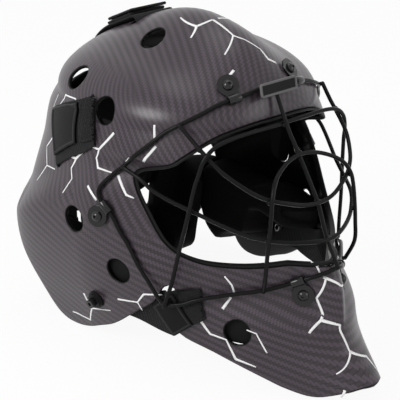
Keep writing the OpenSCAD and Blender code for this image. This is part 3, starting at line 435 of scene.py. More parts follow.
def hole_distances(points):
    """Smallest signed distance to the edges, positive where the wall stays."""
    q = points - ORIGIN
    q[:, 0] = -np.abs(q[:, 0])
    mirrored = q + ORIGIN
    d = outline_distance(q[:, 1:], under_outline)
    face = outline_distance(q[:, (0, 2)], face_outline)
    d = np.minimum(d, np.where(q[:, 1] < 20, face, 99))
    rear = box_distance(np.abs(q[:, 0]) - 30, q[:, 2] - 166, 40)
    d = np.minimum(d, np.where(q[:, 1] > 60, rear, 99))
    for angle, height in VENTS + (STANDOFF,):
        centre, first, second, out = local_frame(angle, height)
        v = mirrored - centre
        radius = VENT_RADIUS if (angle, height) != STANDOFF else STANDOFF_RADIUS
        d = np.minimum(d, np.where(np.abs(v @ out) < 15, np.hypot(v @ first, v @ second) - radius, 99))
    ends = shell_point(*np.array(SLOT_ENDS).T)
    middle = np.mean(SLOT_ENDS, 0)
    centre, first, second, out = local_frame(*middle, along=ends[1] - ends[0])
    v = mirrored - ends.mean(0)
    reach = np.linalg.norm(ends[1] - ends[0]) / 2 - SLOT_HALF
    slot = np.hypot(v @ first - np.clip(v @ first, -reach, reach), v @ second) - SLOT_HALF
    d = np.minimum(d, np.where(np.abs(v @ out) < 15, slot, 99))
    centre, first, second, out = local_frame(*TOP_SLOT, along=(1, 0, 0))
    v = points - centre
    top = box_distance(np.abs(v @ first) - 22, np.abs(v @ second) - 2.5, 1)
    return np.minimum(d, np.where(np.abs(v @ out) < 12, top, 99))

# %% Wrap and cut the grid
ROUND = 0.9
COLUMNS, ROWS = 288, 122
row_heights = np.concatenate((np.linspace(0, 205, 86)[:-1], 205 + 100 * np.linspace(0, 1, ROWS - 84)))

# columns are spaced so that no stretch of any section gets long faces
dense = np.linspace(-180, 180, 7201)
shares = []
for level in (20, 50, 80, 110, 140, 170, 205):
    steps = np.linalg.norm(np.diff(shell_point(dense, level), axis=0), axis=1)
    shares.append(steps / steps.sum())
filled = np.concatenate(([0], np.cumsum(np.max(shares, 0))))
column_angles = np.interp(np.linspace(0, filled[-1], COLUMNS + 1), filled, dense)
column_angles = (column_angles - column_angles[::-1]) / 2

def distance_at(angle, height):
    return hole_distances(shell_point(angle, height)) - ROUND

shell_bm = bmesh.new()
bmesh.ops.create_grid(shell_bm, x_segments=COLUMNS, y_segments=ROWS, size=1)
layer_a = shell_bm.verts.layers.float.new("angle")
layer_v = shell_bm.verts.layers.float.new("height")
grid = np.array([v.co for v in shell_bm.verts])
angles = column_angles[np.round((grid[:, 0] + 1) / 2 * COLUMNS).astype(int)]
heights = row_heights[np.round((grid[:, 1] + 1) / 2 * ROWS).astype(int)]
far = distance_at(angles, heights)
# points close to an edge move onto it, so that no thin slivers are left
SNAP, STEP_A, STEP_V = 0.75, 0.2, 0.4
for _ in range(3):
    near = (np.abs(far) < SNAP) & (heights < 300)
    a, v, gap = angles[near], heights[near], far[near]
    here = shell_point(a, v)
    run = lambda angle, height: np.linalg.norm(shell_point(angle, height) - here, axis=1)
    slope_a = (distance_at(a + STEP_A, v) - gap) / run(a + STEP_A, v)
    slope_v = (distance_at(a, v + STEP_V) - gap) / run(a, v + STEP_V)
    size = np.maximum(slope_a**2 + slope_v**2, 0.05)
    angles[near] -= gap * slope_a / size * STEP_A / run(a + STEP_A, v)
    heights[near] -= gap * slope_v / size * STEP_V / run(angles[near], v + STEP_V)
    far = distance_at(angles, heights)
places = shell_point(angles, heights) * MM
for vert, a, v, co in zip(shell_bm.verts, angles, heights, places):
    vert[layer_a], vert[layer_v], vert.co = a, v, co
far[np.abs(far) < 0.06] = 0
print("grid", len(shell_bm.verts), "points,", int((far < 0).sum()), "inside openings")

# %% Split the crossing edges
shell_bm.verts.index_update()
value = {v: float(f) for v, f in zip(shell_bm.verts, far)}
crossing = [e for e in shell_bm.edges if value[e.verts[0]] * value[e.verts[1]] < 0]
pa = np.array([[v[layer_a] for v in e.verts] for e in crossing])
pv = np.array([[v[layer_v] for v in e.verts] for e in crossing])
f0 = np.array([value[e.verts[0]] for e in crossing])
low, high = np.zeros(len(crossing)), np.ones(len(crossing))
for _ in range(12):
    mid = (low + high) / 2
    fm = distance_at(pa[:, 0] + (pa[:, 1] - pa[:, 0]) * mid, pv[:, 0] + (pv[:, 1] - pv[:, 0]) * mid)
    same = fm * f0 > 0
    low, high = np.where(same, mid, low), np.where(same, high, mid)
for edge, t, a, v in zip(crossing, (low + high) / 2, pa, pv):
    vert = bmesh.utils.edge_split(edge, edge.verts[0], float(t))[1]
    vert[layer_a], vert[layer_v] = a[0] + (a[1] - a[0]) * t, v[0] + (v[1] - v[0]) * t
    vert.co = shell_point(vert[layer_a], vert[layer_v]) * MM
    value[vert] = 0.0
on_edge = [v for v in shell_bm.verts if value[v] == 0.0]
bmesh.ops.connect_verts(shell_bm, verts=on_edge)

def inside_opening(face):
    """True where a face lies inside an opening; one with every point on an edge asks for its middle."""
    if sum(value[v] for v in face.verts) < 0:
        return True
    if any(value[v] != 0.0 for v in face.verts):
        return False
    middle = [np.array([np.mean([v[layer] for v in face.verts])]) for layer in (layer_a, layer_v)]
    return distance_at(*middle)[0] < 0

doomed = [f for f in shell_bm.faces if inside_opening(f)]
bmesh.ops.delete(shell_bm, geom=doomed, context="FACES")
bmesh.ops.remove_doubles(shell_bm, verts=shell_bm.verts, dist=2e-6)
bmesh.ops.dissolve_degenerate(shell_bm, dist=2e-5, edges=shell_bm.edges)
face_outward(shell_bm)
print("after the cut", len(shell_bm.faces), "faces")

# %% Inner skin and rounded rims
VERT, EDGE, FACE = bmesh.types.BMVert, bmesh.types.BMEdge, bmesh.types.BMFace

def of_kind(made, kind):
    return [g for g in made if isinstance(g, kind)]

def mean(vectors):
    return sum(vectors, Vector()) / max(len(vectors), 1)

def close_wall(bm, thickness, radius):
    """Gives an open sheet a wall: a reversed copy under it, and rims turned round in small steps."""
    bm.normal_update()
    rim_edges = [e for e in bm.edges if e.is_boundary]
    rim_verts = {v for e in rim_edges for v in e.verts}
    base = {v: v.co.copy() for v in rim_verts}
    out = {v: v.normal.copy() for v in rim_verts}
    away = {}
    for v in rim_verts:
        ends = [e.other_vert(v).co for e in v.link_edges if e.is_boundary]
        side = (ends[0] - ends[1]).cross(out[v]).normalized()
        away[v] = side if side.dot(v.co - mean([f.calc_center_median() for f in v.link_faces])) > 0 else -side
    for _ in range(2):
        beside = {v: mean([away[e.other_vert(v)] for e in v.link_edges if e.is_boundary]) for v in away}
        away = {v: (away[v] + beside[v]).normalized() for v in away}
    copy = bmesh.ops.duplicate(bm, geom=bm.verts[:] + bm.edges[:] + bm.faces[:])["geom"]
    inner_verts, inner_faces = of_kind(copy, VERT), of_kind(copy, FACE)
    bm.normal_update()
    for v in inner_verts:
        v.co -= v.normal * thickness
    for f in inner_faces:
        f.material_index = 1
    bmesh.ops.reverse_faces(bm, faces=inner_faces)
    turns = [math.radians(t) for t in (22.5, 45, 67.5, 90)]
    path = [(radius * math.sin(t), radius * (1 - math.cos(t))) for t in turns]
    path += [(g, thickness - d) for g, d in reversed(path)] + [(0, thickness)]
    source = {v: v for v in rim_verts}
    ring, rim_faces = rim_edges, []
    for outward, down in path:
        made = bmesh.ops.extrude_edge_only(bm, edges=ring)["geom"]
        fresh = of_kind(made, VERT)
        fresh_set = set(fresh)
        following = {}
        for v in fresh:
            origin = next(e.other_vert(v) for e in v.link_edges if e.other_vert(v) in source)
            following[v] = source[origin]
            v.co = base[source[origin]] + away[source[origin]] * outward - out[source[origin]] * down
        ring = [e for e in of_kind(made, EDGE) if fresh_set.issuperset(e.verts)]
        rim_faces += of_kind(made, FACE)
        source = following
    for f in rim_faces:
        f.material_index = 1
    edge_of_copy = {v for f in inner_faces for e in f.edges if e.is_boundary for v in e.verts}
    bmesh.ops.remove_doubles(bm, verts=list(edge_of_copy | set(source)), dist=4e-6)
    face_outward(bm)

close_wall(shell_bm, WALL * MM, ROUND * MM)
print("shell wall", len(shell_bm.faces), "faces, open edges", sum(e.is_boundary for e in shell_bm.edges))

# %% [markdown]
# Each face gets its place in the three twill maps. Along the jaw the ribs
# fall 15 degrees towards the front, on the brow and temples 59 degrees. The
# top of the dome is laid out flat from above.

# %% Maps and zones
def section_arc(level):
    """Distance round the section at a height, from the middle of the face."""
    steps = np.linalg.norm(np.diff(shell_point(dense, level), axis=0), axis=1)
    length = np.concatenate(([0], np.cumsum(steps)))
    return length - length[-1] / 2

TOP_COS, TOP_SIN = 0.425, 0.905      # the dome's map is turned by 65 degrees
ARCS = {"jaw_map": (section_arc(80), math.radians(15)), "brow_map": (section_arc(185), math.radians(59))}

def lay_twill(bm, angle_layer, height_layer):
    maps = {name: bm.loops.layers.uv.new(name) for name in ("jaw_map", "brow_map", "top_map")}
    zones = bm.loops.layers.float_color.new("zone")
    for face in bm.faces:
        side = face.calc_center_median().x
        for loop in face.loops:
            a, v = loop.vert[angle_layer], loop.vert[height_layer]
            a += 360 if side > 0 and a < -90 else -360 if side < 0 and a > 90 else 0
            for name, (arc, tilt) in ARCS.items():
                turns = 1 if a > 180 else -1 if a < -180 else 0
                s = float(np.interp(a - 360 * turns, dense, arc)) + 2 * arc[-1] * turns
                c, d = math.cos(tilt), math.sin(tilt)
                loop[maps[name]].uv = ((s * c - v * d) * MM, (s * d + v * c) * MM)
            x, y = loop.vert.co.x, loop.vert.co.y
            loop[maps["top_map"]].uv = (-TOP_COS * x - TOP_SIN * y, TOP_SIN * x - TOP_COS * y)
            dome_from = 208 + 34 * smooth((abs(a) - 50) / 35)
            loop[zones] = (float(smooth((v - 112) / 24)), float(smooth((v - dome_from) / 18)), 0, 1)

lay_twill(shell_bm, layer_a, layer_v)

def piece(name, bm, materials, body="helmet", smooth_faces=True, replaces=()):
    """Mesh object from a bmesh, riding on a body, with its finish slot."""
    mesh = bpy.data.meshes.new(name)
    bm.to_mesh(mesh)
    bm.free()
    for material in materials:
        mesh.materials.append(material)
    mesh.shade_smooth() if smooth_faces else mesh.shade_flat()
    obj = bpy.data.objects.new(name, mesh)
    bpy.context.collection.objects.link(obj)
    if body:
        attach(obj, body)
    if replaces:
        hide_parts(*replaces)
    return obj

shell = piece("shell_skin", shell_bm, [shell_print, shell_inside], replaces=("main_shell",))
print("shell", len(shell.data.polygons), "faces")

# %% [markdown]
# ## Printed lines
# Broken thin white lines run over the shell in a loose honeycomb. Each is a
# ribbon of ink laid on the surface: an edge is extruded from point to point,
# with a mitre at the corners, and then given the thickness of paint. The
# third number of a point is the line's width.

# %% Ink lines
LINES_RIGHT = (
    ((-56.5, 294.5, 1.2), (-29.5, 286.5, 2.2), (-39, 280.5, 1.4)), ((-29.5, 286.5, 2.2), (-4, 287.5, 2)),
    ((-111.5, 189.5, 1.2), (-109, 181.5, 1.7)), ((-111.5, 189.5, 1), (-107, 209.5, 1.4), (-97.5, 212.5, 1.2),
    (-97, 208, 0.9)),
    ((-117, 203, 0.8), (-115, 192, 1), (-111.5, 189.5, 1)), ((-107, 174.5, 1.4), (-113.5, 159.5, 1),
    (-107.5, 146, 1), (-112, 128.5, 0.9)),
    ((-107.5, 146, 1), (-100.5, 148, 0.9)), ((-95, 165.5, 1.7), (-91.5, 166, 2.1), (-88, 181, 1.2),
    (-83, 181, 1.7), (-76, 197.5, 2.1)),
    ((-83, 181, 1.7), (-84, 173.5, 1.2), (-82.5, 167, 1.6), (-76.5, 166, 0.9)), ((-91.5, 166, 1.9),
    (-92.5, 157, 1.2), (-91, 150.5, 1), (-92, 137, 0.9)),
    ((-75, 165.5, 2.3), (-71, 152.5, 1.9), (-68.5, 151, 0.9)), ((-56.5, 212, 1.6), (-56.5, 199.5, 1.9)),
    ((-56, 195, 2.1), (-63, 181.5, 2.1)),
    ((-69, 182, 1.4), (-72, 177, 1.4)), ((-84.5, 152, 2.3), (-80, 143.5, 2.3)), ((-80, 135, 2.1), (-81, 128.5, 1.4)),
    ((-90, 50.5, 2.4), (-86.5, 38, 1.6), (-90.5, 21.5, 1.4)), ((-86.5, 38, 1.4), (-77.5, 45, 0.7)),
    ((-73.5, 60, 1.7), (-67, 63.5, 1.2), (-64.5, 73, 1.6), (-59, 77.5, 1.2)), ((-67, 63.5, 1.2), (-66, 57, 0.8)),
    ((-50, 63.5, 2.6), (-48, 52, 1.7), (-44, 50, 1.2), (-43, 35, 2.1), (-38, 32, 1)), ((-37.5, 61.5, 1),
    (-35, 59.5, 1), (-33.5, 45, 1.2)),
    ((-45, 98.5, 1.2), (-43.5, 92, 1.4), (-43, 86.5, 1.4)), ((-43.5, 82.5, 1.7), (-44.5, 74, 2.3)),
    ((-146, 216, 1.4), (-152, 226, 1.8), (-163, 228, 1)), ((-152, 226, 1.4), (-149, 238, 1), (-158, 246, 1.6)))
LINES_MIDDLE = (
    ((-4, 287.5, 2.2), (-3, 274, 1.4), (-16.5, 265, 1.2)), ((-3, 274, 1.4), (2, 269.5, 1.2), (7.5, 262.5, 1.2),
    (7.5, 255.5, 2.1), (12.5, 252, 2.1)),
    ((-14.5, 254.5, 2.1), (-17.5, 252, 2.1)), ((-16, 114, 0.7), (-13.5, 111, 1.4), (-13.5, 106.5, 1.4)),
    ((-12.5, 103.5, 2.1), (4, 96, 1.6), (18, 92, 1.2)), ((-10.5, 103.5, 1.7), (-19.5, 87, 1.7), (-16, 71, 2.1),
    (-18.5, 63, 1.9)),
    ((-16, 71, 2.6), (-5, 66.5, 1.7), (1, 46, 1.7), (-15, 36, 1)), ((1, 46, 2.6), (12.5, 38.5, 2.3),
    (13.5, 29.5, 1.2)),
    ((-15.5, 27, 2.3), (-17, 21, 1.4)))

INK_RISE, INK_THICK = 0.16, 0.12

def ink(bm, line, side=1):
    """Ribbon along a line of (angle, height, width); side -1 draws it on the wearer's left."""
    line = np.array(line, float) * (side, 1, 1)
    stations = [line[0]]
    for a, b in zip(line, line[1:]):
        count = max(2, int(np.linalg.norm(shell_point(*b[:2]) - shell_point(*a[:2])) / 2))
        stations += [a + (b - a) * k / count for k in range(1, count + 1)]
    stations = np.array(stations)
    middle = above_shell(stations[:, 0], stations[:, 1], np.full(len(stations), INK_RISE))
    normals = shell_normal(stations[:, 0], stations[:, 1])
    legs = unit(np.diff(middle, axis=0))
    before, after = np.vstack([legs[:1], legs]), np.vstack([legs, legs[-1:]])
    along = unit(before + after)
    mitre = stations[:, 2] / 2 / np.maximum((along * before).sum(1), 0.5)
    reach = np.cross(normals, along) * mitre[:, None]
    edge = None
    for left, right in zip(middle + reach, middle - reach):
        if edge is None:
            ends = [bm.verts.new(left * MM), bm.verts.new(right * MM)]
            edge = bm.edges.new(ends)
            continue
        made = bmesh.ops.extrude_edge_only(bm, edges=[edge])["geom"]
        fresh = of_kind(made, VERT)
        first = next(v for v in fresh if any(e.other_vert(v) is ends[0] for e in v.link_edges))
        second = next(v for v in fresh if v is not first)
        first.co, second.co = left * MM, right * MM
        ends = [first, second]
        edge = next(e for e in of_kind(made, EDGE) if set(e.verts) == set(fresh))

def add_solidify(obj, thickness):
    modifier = obj.modifiers.new("thickness", "SOLIDIFY")
    modifier.thickness, modifier.offset = thickness, -1

def add_bevel(obj, width, segments=2, angle=35):
    modifier = obj.modifiers.new("soft_edges", "BEVEL")
    modifier.width, modifier.segments = width, segments
    modifier.limit_method, modifier.angle_limit = "ANGLE", math.radians(angle)

lines_bm = bmesh.new()
for line in LINES_RIGHT:
    ink(lines_bm, line)
    ink(lines_bm, line, -1)
for line in LINES_MIDDLE:
    ink(lines_bm, line)
lines_bm.normal_update()
for face in list(lines_bm.faces):
    centre = face.calc_center_median()
    if face.normal.dot(centre - Vector((0, 0.03, 0.12))) < 0:
        face.normal_flip()
ink_lines = piece("ink_lines", lines_bm, [line_white])
add_solidify(ink_lines, INK_THICK * MM)
print("ink lines", len(ink_lines.data.polygons), "faces")

# %% [markdown]
# ## The cage
# The cage is bent steel wire, welded and powder coated. A ring of edges is
# extruded along each wire's route, and a few shrinking rings close its ends
# with the round tips of a cut and tumbled rod.

# %% Routes and sweeps
def flip_x(points):
    return np.asarray(points) * (-1, 1, 1)

def sweep(bm, path, profile, up=None, closed=False, scales=None):
    """Extrudes a ring of (up, side) points along a path in millimetres."""
    path = np.asarray(path, float)
    n = len(path)
    if closed:
        tangents = np.roll(path, -1, 0) - np.roll(path, 1, 0)
    else:
        tangents = np.vstack([path[1:2] - path[:1], path[2:] - path[:-2], path[-1:] - path[-2:-1]])
    tangents = unit(tangents)
    if up is None:
        # any direction across the start, carried along without twisting
        ups = [unit(np.cross(tangents[0], (0.31, 0.87, 0.38)))]
        for t in tangents[1:]:
            ups.append(unit(ups[-1] - (ups[-1] @ t) * t))
        ups = np.array(ups)
    else:
        ups = np.broadcast_to(np.asarray(up, float), path.shape)
        ups = unit(ups - (ups * tangents).sum(1, keepdims=True) * tangents)
    sides = np.cross(tangents, ups)
    scales = np.ones(n) if scales is None else np.asarray(scales)
    ring_at = lambda i: [(path[i] + (ups[i] * u + sides[i] * w) * scales[i]) * MM for u, w in profile]
    ring = [bm.verts.new(co) for co in ring_at(0)]
    first = ring
    edges = [bm.edges.new((a, b)) for a, b in zip(ring, ring[1:] + ring[:1])]
    first_edges = edges
    for i in range(1, n):
        made = bmesh.ops.extrude_edge_only(bm, edges=edges)["geom"]
        fresh = set(of_kind(made, VERT))
        ring = [next(e.other_vert(v) for e in v.link_edges if e.other_vert(v) in fresh) for v in ring]
        for v, co in zip(ring, ring_at(i)):
            v.co = co
        edges = [e for e in of_kind(made, EDGE) if fresh.issuperset(e.verts)]
    if closed:
        bmesh.ops.bridge_loops(bm, edges=edges + first_edges)
    else:
        bm.faces.new(first)
        bm.faces.new(ring)

def round_profile(diameter, sides):
    turns = [2 * math.pi * k / sides for k in range(sides)]
    return [(diameter / 2 * math.cos(t), diameter / 2 * math.sin(t)) for t in turns]

def rod(bm, path, diameter, sides=14, closed=False):
    """Round rod whose open ends are rounded over."""
    path = np.asarray(path, float)
    if closed:
        return sweep(bm, path, round_profile(diameter, sides), closed=True)
    t0, t1 = unit(path[0] - path[1]), unit(path[-1] - path[-2])
    turns = np.radians((75, 50, 25))
    head = [path[0] + t0 * diameter / 2 * math.sin(a) for a in turns]
    tail = [path[-1] + t1 * diameter / 2 * math.sin(a) for a in turns[::-1]]
    scales = [math.cos(a) for a in turns] + [1] * len(path) + [math.cos(a) for a in turns[::-1]]
    sweep(bm, np.vstack([head, path, tail]), round_profile(diameter, sides), scales=scales)

# %% Wires
WIRE, WIRE_RISE = 3.2, 3.2 / 2 + 0.7
FRAME_PLACES = ((0, 238.5), (-5.7, 237.8), (-14, 235.6), (-25.4, 231.8), (-35, 224), (-44.7, 214.4),
    (-52, 204.5), (-58.7, 195.2),
    (-65.5, 185.5), (-71.7, 176.2), (-75.5, 167.5), (-78.6, 157.5), (-79.2, 151.5), (-77.6, 145), (-74, 137.1),
    (-70.8, 126),
    (-67.5, 114.6), (-64.6, 101), (-61.5, 88), (-59.2, 78), (-57.4, 73.6), (-54, 74.6), (-50.3, 79.2), (-43.9, 85.2),
    (-36.1, 90.6), (-28.5, 96.8), (-20, 102.5), (-9, 106.5), (0, 108))
places = np.array(FRAME_PLACES)
# the frame stands further off the shell over the notch and the jaw
over = np.interp(range(len(places)), (17, 18, 19, 20, 22, 23, 24, 25, 26, 27, 28),
                 (0, 1.6, 3.3, 3.9, 3.9, 2.6, 1.4, 1.4, 0.9, 0.1, 0))
frame_normal = shell_normal(places[:, 0], places[:, 1])
frame_right = above_shell(places[:, 0], places[:, 1], WIRE_RISE + over)

def seat(i, wires=1.0):
    return frame_right[i] + frame_normal[i] * wires * WIRE

def arch(i, points):
    """Route of a wire that starts on the frame's station i, from its right half."""
    right = np.vstack([seat(i)[None], points + ORIGIN])
    return np.vstack([right, flip_x(right[-2::-1])])

ARCH_OUTER = ((-90, -74.5, 92), (-86, -78.8, 119), (-81.3, -82.8, 146), (-77.2, -86.6, 172), (-75.4, -89, 182),
    (-72.4, -90.3, 192),
              (-66.5, -91.5, 199), (-58, -92.6, 203.3), (-44, -94, 205.6), (-22, -96, 206.6), (0, -96.6, 206.8))
ARCH_INNER = ((-47, -132, 108), (-46, -132.4, 126), (-44, -132.3, 144), (-42.3, -131.4, 158),
    (-40.4, -130, 167), (-36, -127, 175),
              (-29, -123, 180.5), (-19, -119.5, 185), (-9, -117.4, 187.6), (0, -116.8, 188.3))
BAR_NOSE = ((-70.4, -76, 204), (-68.6, -84.6, 197.6), (-65, -98, 188), (-60.5, -107, 181.5),
    (-52.5, -117.5, 173.5), (-45, -123.8, 168),
            (-37, -128.6, 164.6), (-28, -132.6, 161.6), (-18, -136, 158.6), (-9, -138, 157.2), (0, -138.5, 156.8))
BAR_BELT = ((-93.6, -43, 169.5), (-90.5, -53.5, 163), (-84, -66.5, 157), (-76, -81, 151.6), (-66, -101.5, 145),
    (-60, -112.5, 141.6),
            (-53.6, -120.5, 138.4), (-46, -127.4, 136), (-38, -134, 134.4), (-28, -140.4, 133),
            (-17, -146, 132), (-8, -149.2, 131.3), (0, -150.2, 131))
BAR_CENTRE = ((0, -100.9, 206), (0, -112.4, 190.1), (0, -131.5, 162.9), (0, -134.6, 158), (0, -136.9, 154.4),
    (0, -139.2, 149.4), (0, -147, 131))
wires = (
    ("cage_frame", "frame_wire", np.vstack([frame_right, flip_x(frame_right[-2:0:-1])])),
    ("cage_outer_arch", "outer_arch_wire", arch(20, ARCH_OUTER)),
    ("cage_inner_arch", "inner_arch_wire", arch(24, ARCH_INNER)),
    ("cage_nose_bar", "nose_wire", arch(5, BAR_NOSE)),
    ("cage_belt_bar", "belt_wire", arch(9, BAR_BELT)),
    ("cage_centre_bar", "centre_wire", np.vstack([seat(0)[None], BAR_CENTRE + ORIGIN, seat(28)[None]])))
for node, name, route in wires:
    closed = node == "cage_frame"
    bm = bmesh.new()
    rod(bm, rounded_outline(route, closed, 5), WIRE, closed=closed)
    face_outward(bm)
    wire = piece(name, bm, [cage_paint], replaces=(node,))
    print(name, len(wire.data.polygons), "faces")

# %% [markdown]
# Where wires cross, a weld leaves a small flattened bead under the paint.

# %% Weld beads
def bead(bm, centre, along, size=(2.6, 1.9, 1.7)):
    """Squashed ball of weld metal, its long axis along a direction."""
    turn = Vector(along).to_track_quat("X", "Z").to_matrix().to_4x4()
    matrix = Matrix.Translation(Vector(centre) * MM) @ turn @ Matrix.Diagonal((*(c * MM for c in size), 1))
    bmesh.ops.create_icosphere(bm, subdivisions=2, radius=1, matrix=matrix)

beads_bm = bmesh.new()
for i in (5, 9, 20, 24):
    spot = seat(i, 0.5)
    along = frame_right[i + 1] - frame_right[i - 1]
    bead(beads_bm, spot, along)
    bead(beads_bm, flip_x(spot), flip_x(along))
for i in (0, 28):
    bead(beads_bm, seat(i, 0.5), (1, 0, 0))
for spot in ((0, -98.8, 206.4), (0, -114.4, 189), (0, -137.2, 156.8), (0, -148.4, 131)):
    bead(beads_bm, np.array(spot) + ORIGIN, (1, 0, 0))
for spot in ((-69.5, -83.5, 198.6), (-41.5, -128.5, 164.5), (-45, -130.5, 136)):
    for sign in (1, -1):
        bead(beads_bm, (np.array(spot) + ORIGIN) * (sign, 1, 1), (1, 0, 0), (2.2, 1.8, 1.8))
piece("weld_beads", beads_bm, [cage_paint])

# %% [markdown]
# The face opening is edged with a soft rubber bead pushed over the cut wall.
# Its rounded section is swept round the opening's outline.

# %% Face trim
def angle_where(x, height, low, high):
    """Angle at which a section is x wide, by halving (arrays)."""
    x, height = np.broadcast_arrays(np.asarray(x, float), np.asarray(height, float))
    low, high = np.full(x.shape, float(low)), np.full(x.shape, float(high))
    rising = high.flat[0] <= 90
    for _ in range(26):
        middle = (low + high) / 2
        wide = shell_point(middle, height)[..., 0] > x
        low, high = np.where(wide ^ rising, middle, low), np.where(wide ^ rising, high, middle)
    return (low + high) / 2

def height_at(z):
    """Height along the surface of a level over the dome (arrays)."""
    rise = np.arcsin(np.clip((z - DOME_START) / (DOME_TOP - DOME_START), 0, 1))
    return np.where(z <= DOME_START, z, DOME_START + np.degrees(rise) / DOME_RATE)

rim = face_outline
level = height_at(rim[:, 1])
front_y = shell_point(angle_where(np.abs(rim[:, 0]), level, 0, 90), level)[:, 1]
turn = unit(np.roll(rim, -1, 0) - np.roll(rim, 1, 0))
normal = np.stack((-turn[:, 1], turn[:, 0]), -1)
inward = normal * (1 if normal[0, 1] < 0 else -1)
TRIM_IN, TRIM_DEEP, TRIM_HALF, TRIM_THIN = 1.45, WALL * 0.55, 2.4, 1.0
trim_route = np.stack((rim[:, 0] + inward[:, 0] * TRIM_IN, front_y + TRIM_DEEP,
                       rim[:, 1] + inward[:, 1] * TRIM_IN + ORIGIN[2]), -1)
corner = [(math.cos(t), math.sin(t)) for t in np.linspace(0, 2 * math.pi, 16, endpoint=False)]
bead_section = [(TRIM_HALF * np.sign(c) * abs(c) ** 0.45, TRIM_THIN * np.sign(s) * abs(s) ** 0.6)
                for c, s in corner]
trim_bm = bmesh.new()
sweep(trim_bm, trim_route, bead_section, up=(0, 1, 0), closed=True)
face_outward(trim_bm)
face_trim = piece("face_trim_bead", trim_bm, [trim_rubber], replaces=("face_trim",))
print("trim", len(face_trim.data.polygons), "faces")

# %% [markdown]
# The badge is a small plate with a raised grey border round a bare black
# field. It starts as a rounded outline, is extruded, and its face is inset.

# %% Badge
def place_matrix(origin, out, along):
    z = Vector(out).normalized()
    x = (Vector(along) - Vector(along).dot(z) * z).normalized()
    y = z.cross(x)
    matrix = Matrix((x, y, z)).transposed().to_4x4()
    matrix.translation = Vector(origin) * MM
    return matrix

badge_place = place_matrix(seat(0, 1.5), frame_normal[0] - np.array((0, 0, 0.35)), (1, 0, 0))
BADGE_X, BADGE_Y, BADGE_CORNER, BADGE_DROP, BADGE_RISE = 16, 3.2, 2, 2.5, 2.8
badge_bm = bmesh.new()
outline = []
for quarter, (sx, sy) in enumerate(((1, 1), (-1, 1), (-1, -1), (1, -1))):
    for t in np.radians(90 * quarter + np.linspace(0, 90, 7)):
        outline.append(badge_bm.verts.new((
            (sx * BADGE_X + BADGE_CORNER * math.cos(t)) * MM,
            (sy * BADGE_Y + BADGE_CORNER * math.sin(t) - BADGE_DROP) * MM, BADGE_RISE * MM)))
base = badge_bm.faces.new(outline)
top = bmesh.ops.extrude_face_region(badge_bm, geom=[base], use_keep_orig=True)["geom"]
bmesh.ops.translate(badge_bm, verts=of_kind(top, VERT), vec=(0, 0, 2 * MM))
badge_bm.normal_update()
top_face = of_kind(top, FACE)[0]
bmesh.ops.inset_region(badge_bm, faces=[top_face], thickness=1.25 * MM)
bmesh.ops.inset_region(badge_bm, faces=[top_face], thickness=0.35 * MM, depth=-0.8 * MM)
top_face.material_index = 1
face_outward(badge_bm)
badge_bm.transform(badge_place)
badge = piece("badge_blank", badge_bm, [badge_grey, badge_black], smooth_faces=False,
              replaces=("badge_plate",))
add_bevel(badge, 0.3 * MM, 3, 30)

# %% [markdown]
# ## Clips, screws and rivets
# These parts have their right shape already. They keep the engineering mesh;
# a weld of its loose triangles and a small bevel soften the edges, and each
# gets its own finish.

# %% Finishes for the small hard parts
def dress(node, material, bevel=0.25):
    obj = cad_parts[node]
    obj.data.materials.clear()
    obj.data.materials.append(material)
    join = obj.modifiers.new("join", "WELD")
    join.merge_threshold = 0.00001
    add_bevel(obj, bevel * MM, 2, 32)

for where in ("brow", "side", "chin"):
    for side in ("right", "left"):
        dress(where + "_clip_" + side, clip_plastic, 0.35)
        dress(where + "_screw_" + side, screw_black, 0.3)
    dress(where + "_nuts", fixing_steel, 0.25)
for side in ("right", "left"):
    dress("standoff_washers_" + side, washer_rubber, 0.3)
    dress("standoff_screw_" + side, screw_black, 0.3)
dress("standoff_nuts", fixing_steel, 0.25)
dress("plate_rivets", fixing_steel, 0.3)
print("dressed", sum(1 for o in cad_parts.values() if o.modifiers), "engineering parts")

# %% [markdown]
# ## Straps
# Elastic webbing straps come out of slots in the shell and are held by tabs
# of hook tape. A patch starts as a grid, is laid over the surface between
# four corner places, and gets its thickness from a Solidify modifier. Its map
# runs in metres along and across the strap, for the weave.

# %% Webbing material and patches
strap_web, tree, shader, _, relief = finish(
    "strap_webbing", rgb(0.004), rgb(0.010), 0.62, 0.1, 1.0, Sheen_Weight=0.06, Sheen_Roughness=0.45, **DULL)
weave = laid_group(tree, webbing, "weave_map", "Rib", 0.0019)
tree.links.new(weave.outputs["Height"], relief.inputs["Height"])
relief.inputs["Distance"].default_value = 0.0003
cloudy = shader.inputs["Base Color"].links[0].from_socket
# painted highlight: the tops of the ribs are coloured lighter than the dark webbing
painted_rib_highlight = mix_colour(tree, weave.outputs["Light"], cloudy, (0.016, 0.016, 0.018, 1))
tree.links.new(painted_rib_highlight, shader.inputs["Base Color"])

def between(stations, u, w):
    """Place (angle, height) inside a list of (lower, upper) stations."""
    stations = np.asarray(stations, float)
    spans = len(stations) - 1
    k = np.minimum((u * spans).astype(int), spans - 1)
    t = (u * spans - k)[:, None]
    low = stations[k, 0] * (1 - t) + stations[k + 1, 0] * t
    high = stations[k, 1] * (1 - t) + stations[k + 1, 1] * t
    return low * (1 - w[:, None]) + high * w[:, None]

def corners(c):
    return [[c[0], c[3]], [c[1], c[2]]]

def unit_grid(nu, nv):
    """A grid with its shares along (u) and across (w), both 0 to 1."""
    bm = bmesh.new()
    bmesh.ops.create_grid(bm, x_segments=nu, y_segments=nv, size=1)
    grid = np.array([v.co for v in bm.verts])
    return bm, (grid[:, 0] + 1) / 2, (grid[:, 1] + 1) / 2

